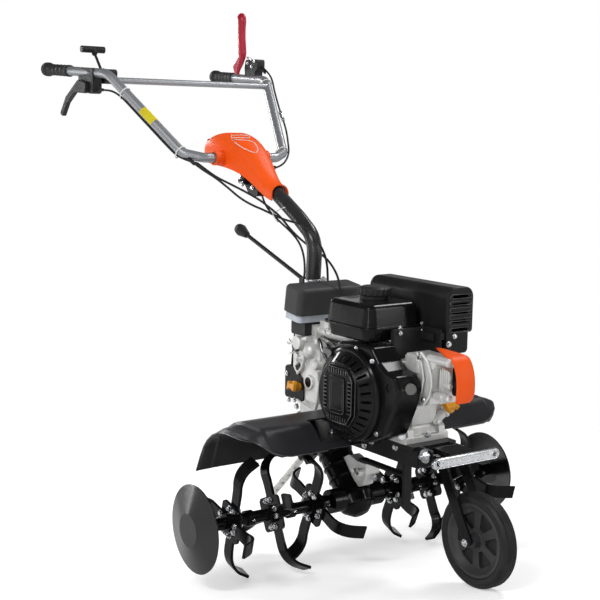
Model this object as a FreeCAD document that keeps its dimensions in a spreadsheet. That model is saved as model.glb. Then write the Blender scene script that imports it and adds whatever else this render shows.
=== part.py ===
import FreeCAD, Part
import math
import os
from FreeCAD import Placement, Rotation, Vector

# Rotary tiller, built as separate pieces in one machine frame: origin on the tine rotor's axis,
# +X forward, +Y to the machine's left, +Z square to the engine base, millimetres throughout.
# Every piece is then placed with LEAN, because the machine parks nose down, on its front wheel
# and its tines.

doc = FreeCAD.newDocument("rotary_tiller")

# ---------------------------------------------------------------------------------------------
# Sizes
# ---------------------------------------------------------------------------------------------

SIZES = {
    "lean_angle": 8.05,
    "axis_height": 150.0,
    "shift_x": 236.5,
    "case_radius": 43.0,
    "case_flange_span": 156.0,
    "upper_case_width": 128.0,
    "crankcase_width": 122.0,
    "head_width": 90.0,
    "shield_width": 54.0,
    "fan_cover_depth": 66.0,
    "drive_cover_depth": 36.0,
    "tank_upper_height": 52.0,
    "tank_lower_height": 36.0,
    "filter_length": 202.0,
    "filter_height": 69.0,
    "muffler_length": 294.0,
    "tube_radius": 13.5,
    "crossbar_radius": 9.0,
    "column_radius": 20.0,
    "fork_width": 70.0,
    "fork_gap": 58.0,
    "front_bar_thick": 6.0,
    "tyre_radius": 108.0,
    "rim_radius": 80.0,
    "hub_plate_thick": 6.0,
    "shaft_radius": 15.0,
    "stake_length": 262.0,
}

sheet = doc.addObject("Spreadsheet::Sheet", "Sizes")
for row, (size_name, size_value) in enumerate(SIZES.items(), start=1):
    sheet.set("A%d" % row, size_name)
    sheet.set("B%d" % row, str(size_value))
    sheet.setAlias("B%d" % row, size_name)
doc.recompute()

LEAN = Placement(
    Vector(SIZES["shift_x"], 0, SIZES["axis_height"]),
    Rotation(Vector(0, 1, 0), SIZES["lean_angle"]),
)

ALONG_X = Vector(1, 0, 0)
ALONG_Y = Vector(0, 1, 0)
ALONG_Z = Vector(0, 0, 1)

nodes = []

# ---------------------------------------------------------------------------------------------
# Helpers
# ---------------------------------------------------------------------------------------------


def turned(axis, degrees):
    return Rotation(axis, degrees)


def register(obj, label, at=(0, 0, 0), turn=None):
    """Label a finished sub-part and set it in the leaning machine frame."""
    obj.Label = label
    obj.Placement = LEAN * Placement(Vector(*at), turn or Rotation())
    nodes.append(obj)
    return obj


def give(obj, prop, value):
    """Set a property to a number, or bind it to one of the sheet's named sizes."""
    if isinstance(value, str):
        obj.setExpression(prop, "Sizes." + value)
    else:
        setattr(obj, prop, value)


def outline(points):
    """Closed outline of lines and tangent arcs; each point is (u, v) or (u, v, corner radius)."""
    count = len(points)
    places = [Vector(p[0], p[1], 0) for p in points]
    cuts = []
    for i, point in enumerate(points):
        radius = point[2] if len(point) > 2 else 0.0
        here = places[i]
        if radius <= 0:
            cuts.append((here, here, None))
            continue
        back = (places[i - 1] - here).normalize()
        ahead = (places[(i + 1) % count] - here).normalize()
        half = back.getAngle(ahead) / 2.0
        reach = radius / math.tan(half)
        middle = (back + ahead).normalize() * (radius / math.sin(half) - radius)
        cuts.append((here + back * reach, here + ahead * reach, here + middle))
    edges = []
    for i in range(count):
        start, stop, mid = cuts[i]
        if mid is not None:
            edges.append(Part.Arc(start, mid, stop))
        following = cuts[(i + 1) % count][0]
        if (following - stop).Length > 1e-6:
            edges.append(Part.LineSegment(stop, following))
    return edges


def rectangle(u, v, width, height, radius=0.0):
    """Rectangle about a centre, with rounded corners if a radius is given."""
    a, b = width / 2.0, height / 2.0
    corners = ((-a, -b), (a, -b), (a, b), (-a, b))
    return outline([(u + du, v + dv, radius) for du, dv in corners])


def circle(u, v, radius):
    return [Part.Circle(Vector(u, v, 0), ALONG_Z, radius)]


def hexagon(u, v, reach):
    """Nut or bolt head across a centre; reach is from the centre to a corner."""
    turns = [math.radians(60 * corner) for corner in range(6)]
    return outline([(u + reach * math.cos(turn), v + reach * math.sin(turn)) for turn in turns])


def strip_points(points, thick):
    """Outline points of an open path of (u, v) points thickened to its right."""
    places = [Vector(p[0], p[1], 0) for p in points]
    radii = [p[2] if len(p) > 2 else 0 for p in points]
    inner = []
    for i, here in enumerate(places):
        sides = []
        if i > 0:
            sides.append((here - places[i - 1]).normalize())
        if i < len(places) - 1:
            sides.append((places[i + 1] - here).normalize())
        along_path = (sides[0] + sides[-1]).normalize()
        stretch = 1.0 / along_path.dot(sides[0])
        inner.append(here + Vector(along_path.y, -along_path.x, 0) * thick * stretch)
    ring = [(p.x, p.y, radius) for p, radius in zip(places, radii)]
    for here, radius in zip(inner[::-1], radii[::-1]):
        ring.append((here.x, here.y, max(radius - thick, 0)))
    return ring


def strip(points, thick):
    return outline(strip_points(points, thick))


def new_body(label):
    return doc.addObject("PartDesign::Body", label)


def origin_part(body, role):
    for feature in body.Origin.OriginFeatures:
        if feature.Role == role:
            return feature
    raise ValueError(role)


def sketch(body, plane, edges, offset=0.0):
    """Sketch attached to one of the body's own origin planes, offset along the plane's normal."""
    drawing = body.newObject("Sketcher::SketchObject", body.Name + "_sketch")
    drawing.AttachmentSupport = [(origin_part(body, plane + "_Plane"), "")]
    drawing.MapMode = "FlatFace"
    drawing.AttachmentOffset = Placement(Vector(0, 0, offset), Rotation())
    for edge in edges:
        drawing.addGeometry(edge, False)
    return drawing


def feature(body, kind, plane, edges, length, offset=0.0, symmetric=False, reverse=False, taper=0.0):
    """Pad or pocket; length is a number or a sheet name."""
    item = body.newObject("PartDesign::" + kind, body.Name + "_" + kind)
    item.Profile = sketch(body, plane, edges, offset)
    if symmetric:
        item.SideType = "Symmetric"
    item.Reversed = reverse
    give(item, "Length", length)
    if taper:
        item.TaperAngle = taper
    body.Tip = item
    return item


def pad(body, plane, edges, length, **options):
    return feature(body, "Pad", plane, edges, length, **options)


def pocket(body, plane, edges, length, **options):
    return feature(body, "Pocket", plane, edges, length, **options)


def slab(body, edges, low, high):
    """Pad in the XZ plane between two Y values."""
    return pad(body, "XZ", edges, high - low, offset=-(low + high) / 2.0, symmetric=True)


def notch(body, edges, low, high):
    """Pocket in the XZ plane between two Y values."""
    return pocket(body, "XZ", edges, high - low, offset=-(low + high) / 2.0, symmetric=True)


def spin(body, edges):
    """Full turn of an XZ outline about the body's own Z axis."""
    item = body.newObject("PartDesign::Revolution", body.Name + "_turned")
    item.Profile = sketch(body, "XZ", edges)
    item.ReferenceAxis = (origin_part(body, "Z_Axis"), [""])
    item.Angle = 360
    body.Tip = item
    return item


def around(body, originals, count, axis="Z"):
    """Polar pattern about one of the body's own axes."""
    item = body.newObject("PartDesign::PolarPattern", body.Name + "_pattern")
    item.Originals = originals
    item.Axis = (origin_part(body, axis + "_Axis"), [""])
    item.Angle = 360
    item.Occurrences = count
    body.Tip = item
    return item


def along(body, originals, axis, length, count):
    """Linear pattern along one of the body's own axes."""
    item = body.newObject("PartDesign::LinearPattern", body.Name + "_row")
    item.Originals = originals
    item.Direction = (origin_part(body, axis + "_Axis"), [""])
    item.Length = length
    item.Occurrences = count
    body.Tip = item
    return item


def soften(body, radius, choose):
    """Fillet the edges of the body's tip that a test picks out by their bounding boxes."""
    doc.recompute()
    base = body.Tip
    names = []
    for number, edge in enumerate(base.Shape.Edges, start=1):
        if choose(edge.BoundBox):
            names.append("Edge%d" % number)
    item = body.newObject("PartDesign::Fillet", body.Name + "_soft")
    item.Base = (base, names)
    item.Radius = radius
    body.Tip = item
    return item


def at_level(axis, value):
    """Test for edges that lie wholly at one level of X, Y or Z."""
    def choose(box):
        low = getattr(box, axis.upper() + "Min")
        high = getattr(box, axis.upper() + "Max")
        return abs(low - value) < 0.01 and abs(high - value) < 0.01
    return choose


def loft(body, sections, subtract=False):
    """Smooth loft through YZ outlines, each given as (x, edges)."""
    kind = "SubtractiveLoft" if subtract else "AdditiveLoft"
    drawings = [sketch(body, "YZ", edges, offset) for offset, edges in sections]
    item = body.newObject("PartDesign::" + kind, body.Name + "_loft")
    item.Profile = drawings[0]
    item.Sections = drawings[1:]
    body.Tip = item
    return item


def tube(points, radii, outer, inner=0.0):
    """Tube or rod along straight runs joined by tangent arcs."""
    places = [Vector(*p) for p in points]
    edges = []
    last = places[0]
    for i in range(1, len(places) - 1):
        here = places[i]
        back = (places[i - 1] - here).normalize()
        ahead = (places[i + 1] - here).normalize()
        half = back.getAngle(ahead) / 2.0
        reach = radii[i - 1] / math.tan(half)
        start = here + back * reach
        stop = here + ahead * reach
        middle = here + (back + ahead).normalize() * (radii[i - 1] / math.sin(half) - radii[i - 1])
        if (start - last).Length > 1e-6:
            edges.append(Part.makeLine(last, start))
        edges.append(Part.Arc(start, middle, stop).toShape())
        last = stop
    edges.append(Part.makeLine(last, places[-1]))
    spine = Part.Wire(edges)
    heading = places[1] - places[0]
    solid = spine.makePipeShell([Part.Wire([Part.makeCircle(outer, places[0], heading)])], True, False)
    if inner > 0:
        bore = Part.Wire([Part.makeCircle(inner, places[0], heading)])
        solid = solid.cut(spine.makePipeShell([bore], True, False))
    return solid


def swept(label, shapes):
    """Bent tubes, rods and cables as one node: no sketch feature follows a bend out of its plane."""
    obj = doc.addObject("Part::Feature", label)
    obj.Shape = shapes[0] if len(shapes) == 1 else Part.makeCompound(shapes)
    return register(obj, label)


def cylinder(name, radius, height, at, axis):
    obj = doc.addObject("Part::Cylinder", name)
    give(obj, "Radius", radius)
    give(obj, "Height", height)
    obj.Placement = Placement(Vector(*at), Rotation(ALONG_Z, Vector(*axis)))
    return obj


def box(name, low, high):
    """Box between two opposite corners."""
    obj = doc.addObject("Part::Box", name)
    obj.Length = high[0] - low[0]
    obj.Width = high[1] - low[1]
    obj.Height = high[2] - low[2]
    obj.Placement = Placement(Vector(*low), Rotation())
    return obj


def joined(label, parts):
    obj = doc.addObject("Part::MultiFuse", label)
    obj.Shapes = parts
    return obj


def less(label, base, tool):
    obj = doc.addObject("Part::Cut", label)
    obj.Base = base
    obj.Tool = tool
    return obj


def grouped(label, parts):
    """Like pieces that don't touch share one node."""
    obj = doc.addObject("Part::Compound", label)
    obj.Links = parts
    return obj


# ---------------------------------------------------------------------------------------------
# Gear case and gearbox: the black lower drive leans back from the rotor axis to the castings
# ---------------------------------------------------------------------------------------------

CASE_TURN = turned(ALONG_Y, -41)

case = new_body("gear_case")
CASE_R = SIZES["case_radius"]
case_side = [(0, -52), (20, -48, 6), (44, -28, 14), (50, 0, 20), (CASE_R, 34, 6)]
for rib_low in (50, 84, 118):
    case_side += [(CASE_R, rib_low), (CASE_R + 3, rib_low + 3)]
    case_side += [(CASE_R + 3, rib_low + 7), (CASE_R, rib_low + 10)]
case_side += [(CASE_R, 160), (CASE_R + 9, 166), (CASE_R + 9, 180), (0, 180)]
spin(case, outline(case_side))
pad(case, "XZ", circle(0, 0, 30), "case_flange_span", symmetric=True)
notch(case, circle(0, 0, 15.6), -100, 100)
register(case, "gear_case", turn=CASE_TURN)

# The aluminium saddle bolted in front of the gear case, with the tube that takes its stay
saddle = new_body("case_saddle")
slab(saddle, outline([(38.5, 38.5), (54, 46, 8), (66, 76, 12), (66, 103), (30, 103), (-2, 112, 8),
                      (-25.3, 99.9), (11.4, 57.6)]), -16, 16)
slab(saddle, circle(50, 80, 11), -32, 32)
notch(saddle, circle(50, 80, 5.5), -40, 40)
register(saddle, "case_saddle")

GEARBOX_TOP = 372
upper = new_body("gearbox_upper")
pad(upper, "XZ", outline([(-178, 236, 14), (-62, 236), (-62, GEARBOX_TOP, 12), (-178, GEARBOX_TOP, 14)]),
    "upper_case_width", offset=6, symmetric=True)
slab(upper, outline([(-158.9, 100.4), (-77.3, 171.3), (-53, 200, 10), (-53, 240), (-178, 240),
                     (-178, 150, 20)]), -46, 46)
slab(upper, outline([(-70, 240), (20, 240, 14), (40, 300, 24), (-30, 350, 30), (-70, 352)]), -58, 56)
BEARING_SEATS = ((-150, 320), (-105, 285))
for seat_x, seat_z in BEARING_SEATS:
    slab(upper, circle(seat_x, seat_z, 18.5), -75, -70)
    notch(upper, circle(seat_x, seat_z, 13.2), -76, -72)
for rib_x in (-160, -120, -80):
    slab(upper, rectangle(rib_x, 350, 5, 36), -73, -70)
register(upper, "gearbox_upper")

seats = []
for seat_x, seat_z in BEARING_SEATS:
    seats.append(cylinder("seat", 12.6, 3, (seat_x, -72, seat_z), (0, -1, 0)))
register(grouped("bearing_caps", seats), "bearing_caps")

# Bracket behind the gearbox: two cheeks, a web and the saddle that the column is welded to
COLUMN_FOOT = Vector(-211.4, 0, 240)
COLUMN_KNEE = Vector(-188, 0, 640)
COLUMN_PATH = [tuple(COLUMN_FOOT), tuple(COLUMN_KNEE), (-262, 0, 690), (-505, 0, 825)]
column_shape = tube(COLUMN_PATH, [70, 90], SIZES["column_radius"])

cheeks = new_body("bracket_cheeks")
CHEEK = [(-208, 230, 8), (-125, 230, 8), (-125, 284, 10), (-166, 313, 10), (-208, 313, 8)]
slab(cheeks, outline(CHEEK), -74, -70)
slab(cheeks, outline(CHEEK), 58, 62)
notch(cheeks, circle(-150, 320, 19.5), -80, -60)
slab(cheeks, rectangle(-184, 272, 8, 72), -74, 62)
cradle = box("bracket_cradle", (-212, -26, 238), (-180, 26, 306))
anchor = box("cable_anchor", (-207, -70.5, 306), (-190, -50, 313))
bracket = joined("column_bracket_solid", [cheeks, cradle, anchor])
column_core = doc.addObject("Part::Feature", "column_core")
column_core.Shape = column_shape
register(less("column_bracket", bracket, column_core), "column_bracket")

swept("column", [column_shape.copy()])

# ---------------------------------------------------------------------------------------------
# Frame: two rails, the engine plate, the front ears and the stay down to the gear case
# ---------------------------------------------------------------------------------------------

FENDER_TOP = 240
FENDER_SHEET = 3
ears = new_body("front_ears")
slab(ears, outline([(264, 154), (322, 162, 20), (348, 176, 14), (346, 206, 14), (264, 206)]), -49, 49)
notch(ears, outline([(300, 100), (360, 100), (360, 230), (300, 230)]), -41, 41)
notch(ears, circle(330, 192, 6.1), -60, 60)
frame_parts = [
    box("engine_plate", (60, -66, 198), (298, 66, 206)),
    box("frame_web", (-50, -47, 154), (206, 47, 160)),
    box("stay_bar", (200, -12, 34), (206, 12, 156)),
    box("stay_link", (30, -12, 103), (202, 12, 109)),
    ears,
]
FENDER_UNDER = FENDER_TOP - FENDER_SHEET
SIDE_BARS = (
    ("rail", (-92, 154), (298, 198), 46, 52),
    ("fender_foot", (22, 192), (54, 198), 46, 66),
    ("fender_post", (22, 192), (48, FENDER_UNDER), 62, 66),
    ("fender_shelf", (22, 233), (48, FENDER_UNDER), 62, 112),
)
for side in (-1, 1):
    for bar_name, low, high, inner_y, outer_y in SIDE_BARS:
        near, far = sorted((side * inner_y, side * outer_y))
        frame_parts.append(box(bar_name, (low[0], near, low[1]), (high[0], far, high[1])))
register(joined("engine_frame", frame_parts), "engine_frame")

# Drag stake: a flat bar with holes, held behind the gear case
STAKE_AT = (-205, 0, 70)
STAKE_TURN = turned(ALONG_Y, 225.5)
stake = new_body("drag_stake")
pad(stake, "XY", rectangle(0, 0, 8, 25, 2), "stake_length")
first_hole = pocket(stake, "YZ", circle(0, 40, 4.5), 20, symmetric=True)
along(stake, [first_hole], "Z", 160, 5)
register(stake, "drag_stake", at=STAKE_AT, turn=STAKE_TURN)
holder = new_body("stake_holder")
pad(holder, "XY", rectangle(0, 0, 20, 37, 4), 54, offset=-30)
pocket(holder, "XY", rectangle(0, 0, 8.4, 25.4), 200, symmetric=True)
slab(holder, outline([(-28, -30), (-9.5, -30), (-9.5, 20), (-28, 20)]), -8, 8)
register(holder, "stake_holder", at=STAKE_AT, turn=STAKE_TURN)

# ---------------------------------------------------------------------------------------------
# Fenders: arched sheets that step down to a rim at their outer edge
# ---------------------------------------------------------------------------------------------


def fender_arch(drop, front_lift):
    """Cross-section of the sheet; the rim drops and its front corner lifts."""
    points = [
        (-136 + drop * 0.2, 96),
        (-100 + drop * 0.3, 190 - drop * 0.6, 60),
        (-20, FENDER_TOP - drop, 120),
        (96, FENDER_TOP - drop, 44),
        (146, 186 + front_lift),
    ]
    return strip(points, FENDER_SHEET)


CORNER_R = 86
CORNER_X = 61
CORNER_AT = 386 - CORNER_R
FENDER_SECTIONS = ((67, 0, 0), (338, 0, 0), (346, 7, 1), (366, 10, 6), (378, 15, 14), (385, 22, 24))
fender_pieces = []
for side, side_name in ((-1, "fender_right"), (1, "fender_left")):
    sheet_body = new_body(side_name)
    drawings = []
    for reach, drop, lift in FENDER_SECTIONS:
        drawings.append(sketch(sheet_body, "XZ", fender_arch(drop, lift), -side * reach))
    skin = sheet_body.newObject("PartDesign::AdditiveLoft", side_name + "_loft")
    skin.Profile = drawings[0]
    skin.Sections = drawings[1:]
    skin.Ruled = True
    sheet_body.Tip = skin
    if side < 0:
        notch(sheet_body, circle(160, 314, 118), -205, -60)
    reach_y = side * CORNER_AT
    corner_bow = CORNER_R * math.sqrt(0.5)
    corner = [
        Part.LineSegment(Vector(CORNER_X, side * 386, 0), Vector(CORNER_X, side * 400, 0)),
        Part.LineSegment(Vector(CORNER_X, side * 400, 0), Vector(170, side * 400, 0)),
        Part.LineSegment(Vector(170, side * 400, 0), Vector(170, reach_y, 0)),
        Part.LineSegment(Vector(170, reach_y, 0), Vector(CORNER_X + CORNER_R, reach_y, 0)),
        Part.Arc(
            Vector(CORNER_X + CORNER_R, reach_y, 0),
            Vector(CORNER_X + corner_bow, reach_y + side * corner_bow, 0),
            Vector(CORNER_X, side * 386, 0),
        ),
    ]
    pocket(sheet_body, "XY", corner, 800, symmetric=True)
    fender_pieces.append(sheet_body)
register(grouped("fenders", fender_pieces), "fenders")

# ---------------------------------------------------------------------------------------------
# Engine
# ---------------------------------------------------------------------------------------------

CRANK_TOP = 400
crank = new_body("crankcase")
pad(crank, "XZ", outline([(62, 206), (262, 206), (262, 224), (253, 238, 10), (250, 296, 14),
                          (257.5, CRANK_TOP, 10), (108, CRANK_TOP, 30), (62, 352, 30)]),
    "crankcase_width", offset=-1, symmetric=True)
slab(crank, outline([(150, 206), (270, 206), (270, 222, 4), (150, 222)]), -66, 66)
for foot_y in (-48, 48):
    slab(crank, outline([(250, 220), (269, 220), (266, 236, 6), (252, 252, 6)]), foot_y - 9, foot_y + 9)
slab(crank, outline([(248, 240), (259, 244, 4), (262, 290, 8), (249, 298)]), -38, 34)
slab(crank, circle(150, 312, 54), -72, -60)
for lug_x, lug_z in ((246, 392), (246, 232), (84, 232)):
    slab(crank, circle(lug_x, lug_z, 8), -70, -60)
register(crank, "crankcase")

head = new_body("cylinder_head")
pad(head, "XZ", outline([(258, 300, 4), (344, 312, 8), (352, 414, 8), (258, 421, 4)]), "head_width",
    offset=15, symmetric=True)
slab(head, outline([(258.2, 380), (300, 380), (300, 411, 6), (258.2, 416)]), -64, -60)
slab(head, circle(350, 407, 10), -62, -3)
slab(head, circle(350, 335, 8), -48, 13)
fin_gap = notch(head, rectangle(268, 372, 3.5, 160), 19, 32)
along(head, [fin_gap], "X", 77, 12)
register(head, "cylinder_head")

rocker = new_body("rocker_cover")
slab(rocker, outline([(352.5, 346), (384, 340, 10), (389, 396, 14), (352.5, 396.5)]), -42, 8)
register(rocker, "rocker_cover")

shield = new_body("head_cover")
pad(shield, "XZ", strip([(294, 432), (402, 429, 8), (420, 376, 60), (416, 328)], 4), "shield_width",
    offset=23, symmetric=True)
pocket(shield, "XY", outline([(285, -55), (390, -55), (285, 1)]), 80, offset=440, symmetric=True)
slab(shield, outline([(391, 342), (413, 342), (414, 376), (402, 412), (391, 412)]), -40, 0)
register(shield, "head_cover")

fan = new_body("fan_cover")
FAN_SIDE = [(228, 434, 10), (256, 402, 20), (280, 387, 14), (312, 380, 12), (330, 350, 14),
            (314, 302, 40), (282, 236, 40), (220, 208, 60), (120, 206, 60), (52, 262, 60),
            (48, 360, 50), (92, 428, 40), (150, 436, 20)]
pad(fan, "XZ", outline(FAN_SIDE), "fan_cover_depth", offset=106.5, symmetric=True)
soften(fan, 9, at_level("y", -139.5))
notch(fan, circle(292, 352, 9), -150, -137)
register(fan, "fan_cover")

# Recoil starter, built face up and turned to face the machine's right
RECOIL_AT = (160, -140, 314)
recoil = new_body("recoil_starter")
spin(recoil, outline([(0, 0), (111, 0), (111, 9, 3), (106, 14, 2), (101, 14), (79, 38, 4), (0, 38)]))
pad(recoil, "XY", outline([(-47, -34, 6), (-27, -60, 6), (39, -60, 6), (59, -34, 6), (59, 42, 6),
                           (39, 68, 6), (-27, 68, 6), (-47, 42, 6)]), 8, offset=38)
vane = pocket(recoil, "XY", rectangle(90, 0, 20, 6, 2), 30, offset=33, symmetric=True)
around(recoil, [vane], 28)
for level in (-51, 59):
    edge_slot = pocket(recoil, "XY", rectangle(-21, level, 4, 12, 1.9), 10, offset=46, symmetric=True)
    along(recoil, [edge_slot], "X", 54, 7)
for level in (-39, 51):
    side_slot = pocket(recoil, "XY", rectangle(level, -28, 12, 4, 1.9), 10, offset=46, symmetric=True)
    along(recoil, [side_slot], "Y", 64, 8)
pad(recoil, "XY", rectangle(6, 4, 50, 82, 3), 2.5, offset=46)
register(recoil, "recoil_starter", at=RECOIL_AT, turn=turned(ALONG_X, 90))

# Fuel tank: two pressed halves that meet at a seam flange
SEAM = 474
tank = new_body("fuel_tank")
pad(tank, "XY", rectangle(126, -56, 172, 162, 26), "tank_upper_height", offset=SEAM, taper=-7)
soften(tank, 12, at_level("z", SEAM + SIZES["tank_upper_height"]))
pad(tank, "XY", rectangle(125, -56, 186, 174, 30), 5, offset=SEAM - 2.5, symmetric=True)
pad(tank, "XY", rectangle(125, -56, 168, 160, 26), "tank_lower_height", offset=SEAM, taper=-12,
    reverse=True)
soften(tank, 8, at_level("z", SEAM - SIZES["tank_lower_height"]))
vent = pocket(tank, "XY", rectangle(62, -72, 5, 44, 2), 6, offset=526, symmetric=True)
along(tank, [vent], "X", 24, 4)
register(tank, "fuel_tank")

cap = new_body("fuel_cap")
spin(cap, outline([(0, 0), (34, 0), (34, 10), (40, 12, 2), (40, 26, 4), (28, 31, 4), (0, 31)]))
scallop = pocket(cap, "XY", circle(46, 0, 8), 20, offset=22, symmetric=True)
around(cap, [scallop], 18)
register(cap, "fuel_cap", at=(118, -47, 526.2))

# Air filter over the gearbox: cover and grey band share one tilt, the black base stands level
FILTER_AT = (-136, -11, 462)
FILTER_TURN = turned(ALONG_Y, 8)
air = new_body("air_filter_cover")
pad(air, "XY", rectangle(0, 0, 76, SIZES["filter_length"], 16), "filter_height")
soften(air, 11, at_level("z", SIZES["filter_height"]))
register(air, "air_filter_cover", at=FILTER_AT, turn=FILTER_TURN)

band = new_body("air_filter_band")
pad(band, "XY", rectangle(0, 0, 68, SIZES["filter_length"] - 10, 14), 18.8, reverse=True)
register(band, "air_filter_band", at=FILTER_AT, turn=FILTER_TURN)

base = new_body("air_filter_base")
slab(base, outline([(-168, 404, 6), (-108, 404, 6), (-108, 438.6), (-168, 447)]), -85, 70)
slab(base, outline([(-150, 376, 8), (-112, 376, 8), (-112, 410), (-150, 410)]), 20, 60)
register(base, "air_filter_base")

# Carburettor and the intake pipe that runs on under the tank
carb_parts = [
    box("carb_body", (-158, -80, GEARBOX_TOP), (-98, -24, 403.8)),
    cylinder("carb_bowl", 17, 18, (-128, -80, 386), (0, -1, 0)),
    cylinder("intake_pipe", 14, 312, (-104, -46, 419), (1, 0, 0)),
    box("throttle_box", (-84, -56, 426), (-48, -26, 446)),
    box("carb_neck", (-112, -64, 380), (-88, -30, 432)),
]
carb_solid = joined("carburettor_solid", carb_parts)
register(less("carburettor", carb_solid, box("carb_clearance", (-120, -86, 403.8), (-107.5, 71, 440))),
         "carburettor")

muffler = new_body("muffler")
MUFFLER_FRONT = 288
MUFFLER_REAR = MUFFLER_FRONT - SIZES["muffler_length"]
pad(muffler, "YZ", outline([(33, 458, 8), (116, 458, 8), (116, 566, 24), (33, 566, 24)]),
    "muffler_length", offset=MUFFLER_REAR)
soften(muffler, 14, at_level("x", MUFFLER_REAR))
soften(muffler, 5, at_level("x", MUFFLER_FRONT))
louvre = pocket(muffler, "YZ", rectangle(74, 467, 48, 8, 3.5), 56, offset=MUFFLER_FRONT, symmetric=True)
along(muffler, [louvre], "Z", 78, 5)
pad(muffler, "YZ", outline([(-5, 446), (31, 446), (31, 410, 4), (104, 410, 10), (104, 462),
                            (-5, 462, 4)]), 44, offset=240)
register(muffler, "muffler")

panel = new_body("control_box")
slab(panel, outline([(214, CRANK_TOP), (232, CRANK_TOP, 4), (226, 469), (214, 469)]), -72, 31)
notch(panel, outline([(206, 396), (222, 396), (219, 466), (206, 466)]), -68, 27)
register(panel, "control_box")

# Drive cover on the left, over the belt from the engine to the gearbox
drive = new_body("drive_cover")
pad(drive, "XZ", outline([(-192, 240, 60), (222, 252, 60), (222, 376, 60), (-192, 362, 60)]),
    "drive_cover_depth", offset=-80, symmetric=True)
soften(drive, 9, at_level("y", 98))
slab(drive, outline([(-150, 286, 14), (180, 298, 14), (180, 330, 14), (-150, 318, 14)]), 97, 101)
register(drive, "drive_cover")

# Oil filler necks' yellow plugs
plug_parts = []
PLUGS = (
    ("gearbox_plug", (-145, -74, 267), (0, -1, 0)),
    ("engine_plug", (270, 44, 268), (0.8, 0, 0.6)),
)
for plug_name, plug_at, plug_axis in PLUGS:
    plug = new_body(plug_name)
    spin(plug, outline([(0, 0), (9, 0), (9, 10), (13, 12, 2), (13, 20, 3), (0, 20)]))
    pad(plug, "XY", rectangle(0, 0, 30, 7, 3), 14, offset=19)
    plug.Placement = Placement(Vector(*plug_at), Rotation(ALONG_Z, Vector(*plug_axis)))
    plug_parts.append(plug)
register(grouped("filler_plugs", plug_parts), "filler_plugs")

# ---------------------------------------------------------------------------------------------
# Cowl, tube clamp and gear lever on the column
# ---------------------------------------------------------------------------------------------

BAR_AXIS = (-552, 838)
COWL = (
    (-674, 45, 838, 878, 20),
    (-636, 59, 824, 898, 32),
    (-552, 62, 814, 905, 50),
    (-480, 49, 796, 874, 42),
    (-420, 35, 762, 819, 30),
    (-352, 28, 730, 773, 25),
)
COWL_WALL = 3


def cowl_section(half, low, high, radius, shrink):
    """Tunnel open below; shrink thins it by a wall on both sides and on top."""
    inner = half - shrink
    return outline([
        (-inner, low - shrink * 4),
        (inner, low - shrink * 4),
        (inner, high - shrink, radius - shrink),
        (-inner, high - shrink, radius - shrink),
    ])


cowl = new_body("cowl")
loft(cowl, [(x, cowl_section(half, low, high, radius, 0)) for x, half, low, high, radius in COWL])
hollow = []
for x, half, low, high, radius in COWL:
    closed_end = COWL_WALL if x < -600 else 0
    hollow.append((x + closed_end, cowl_section(half, low, high, radius, COWL_WALL)))
loft(cowl, hollow, subtract=True)
for side in (-1, 1):
    near, far = sorted((side * 58, side * 88))
    slab(cowl, circle(BAR_AXIS[0], BAR_AXIS[1], 21), near, far)
notch(cowl, circle(BAR_AXIS[0], BAR_AXIS[1], 15.5), -100, 100)
register(cowl, "cowl")

clamp = new_body("clamp_solid")
slab(clamp, outline([(-578, 816, 14), (-526, 812), (-470, 740, 10), (-428, 736, 8), (-424, 756, 4),
                     (-505, 828), (-526, 862, 10), (-578, 860, 14)]), -24, 24)
slab(clamp, circle(-486, 778, 6), -38, 38)
slab(clamp, circle(-486, 778, 12), -36, -27)
notch(clamp, circle(BAR_AXIS[0], BAR_AXIS[1], 14.3), -60, 60)
clamp_core = doc.addObject("Part::Feature", "clamp_core")
clamp_core.Shape = column_shape.copy()
register(less("clamp_bracket", clamp, clamp_core), "clamp_bracket")

lever_rod = tube([(-234, 0, 340), (-234, 0, 528), (-520, 0, 626)], [16], 5.5)
knob = new_body("gear_knob")
spin(knob, outline([(0, 0), (9, 0, 2), (17, 34, 6), (14, 52, 8), (0, 54)]))
knob.Placement = Placement(Vector(-512, 0, 623.3), Rotation(ALONG_Z, Vector(-286, 0, 98)))
rod_core = doc.addObject("Part::Feature", "gear_rod")
rod_core.Shape = lever_rod
lever_block = box("gear_pivot", (-242, -11, 500), (-212, 11, 536))
lever_solid = joined("gear_lever_solid", [rod_core, knob, lever_block])
lever_clear = doc.addObject("Part::Feature", "lever_clearance")
lever_clear.Shape = column_shape.copy()
register(less("gear_lever", lever_solid, lever_clear), "gear_lever")

# ---------------------------------------------------------------------------------------------
# Handlebar and its controls
# ---------------------------------------------------------------------------------------------

TOP_BEND = Vector(-835, 270, 1067.5)
BAR_END = Vector(-1185, 299.9, 1088)
END_RUN = (BAR_END - TOP_BEND).normalize()


def mirrored(point, side):
    return (point[0], side * abs(point[1]), point[2])


half_bar = [tuple(BAR_END), tuple(TOP_BEND), (-585, 168, 850), (-552, 120, 838)]
bar_path = [mirrored(p, -1) for p in half_bar] + [mirrored(p, 1) for p in reversed(half_bar)]
bar_bends = [70, 40, 30, 30, 40, 70]
swept("handlebar", [tube(bar_path, bar_bends, SIZES["tube_radius"], SIZES["tube_radius"] - 2)])
bar_solid = tube(bar_path, bar_bends, SIZES["tube_radius"] + 0.05)

crossbar_shape = tube([(-806, -258, 1048), (-806, 258, 1048)], [], SIZES["crossbar_radius"])
crossbar_pieces = sorted(crossbar_shape.cut(bar_solid).Solids, key=lambda solid: solid.Volume)
swept("crossbar", [crossbar_pieces[-1]])

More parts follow.
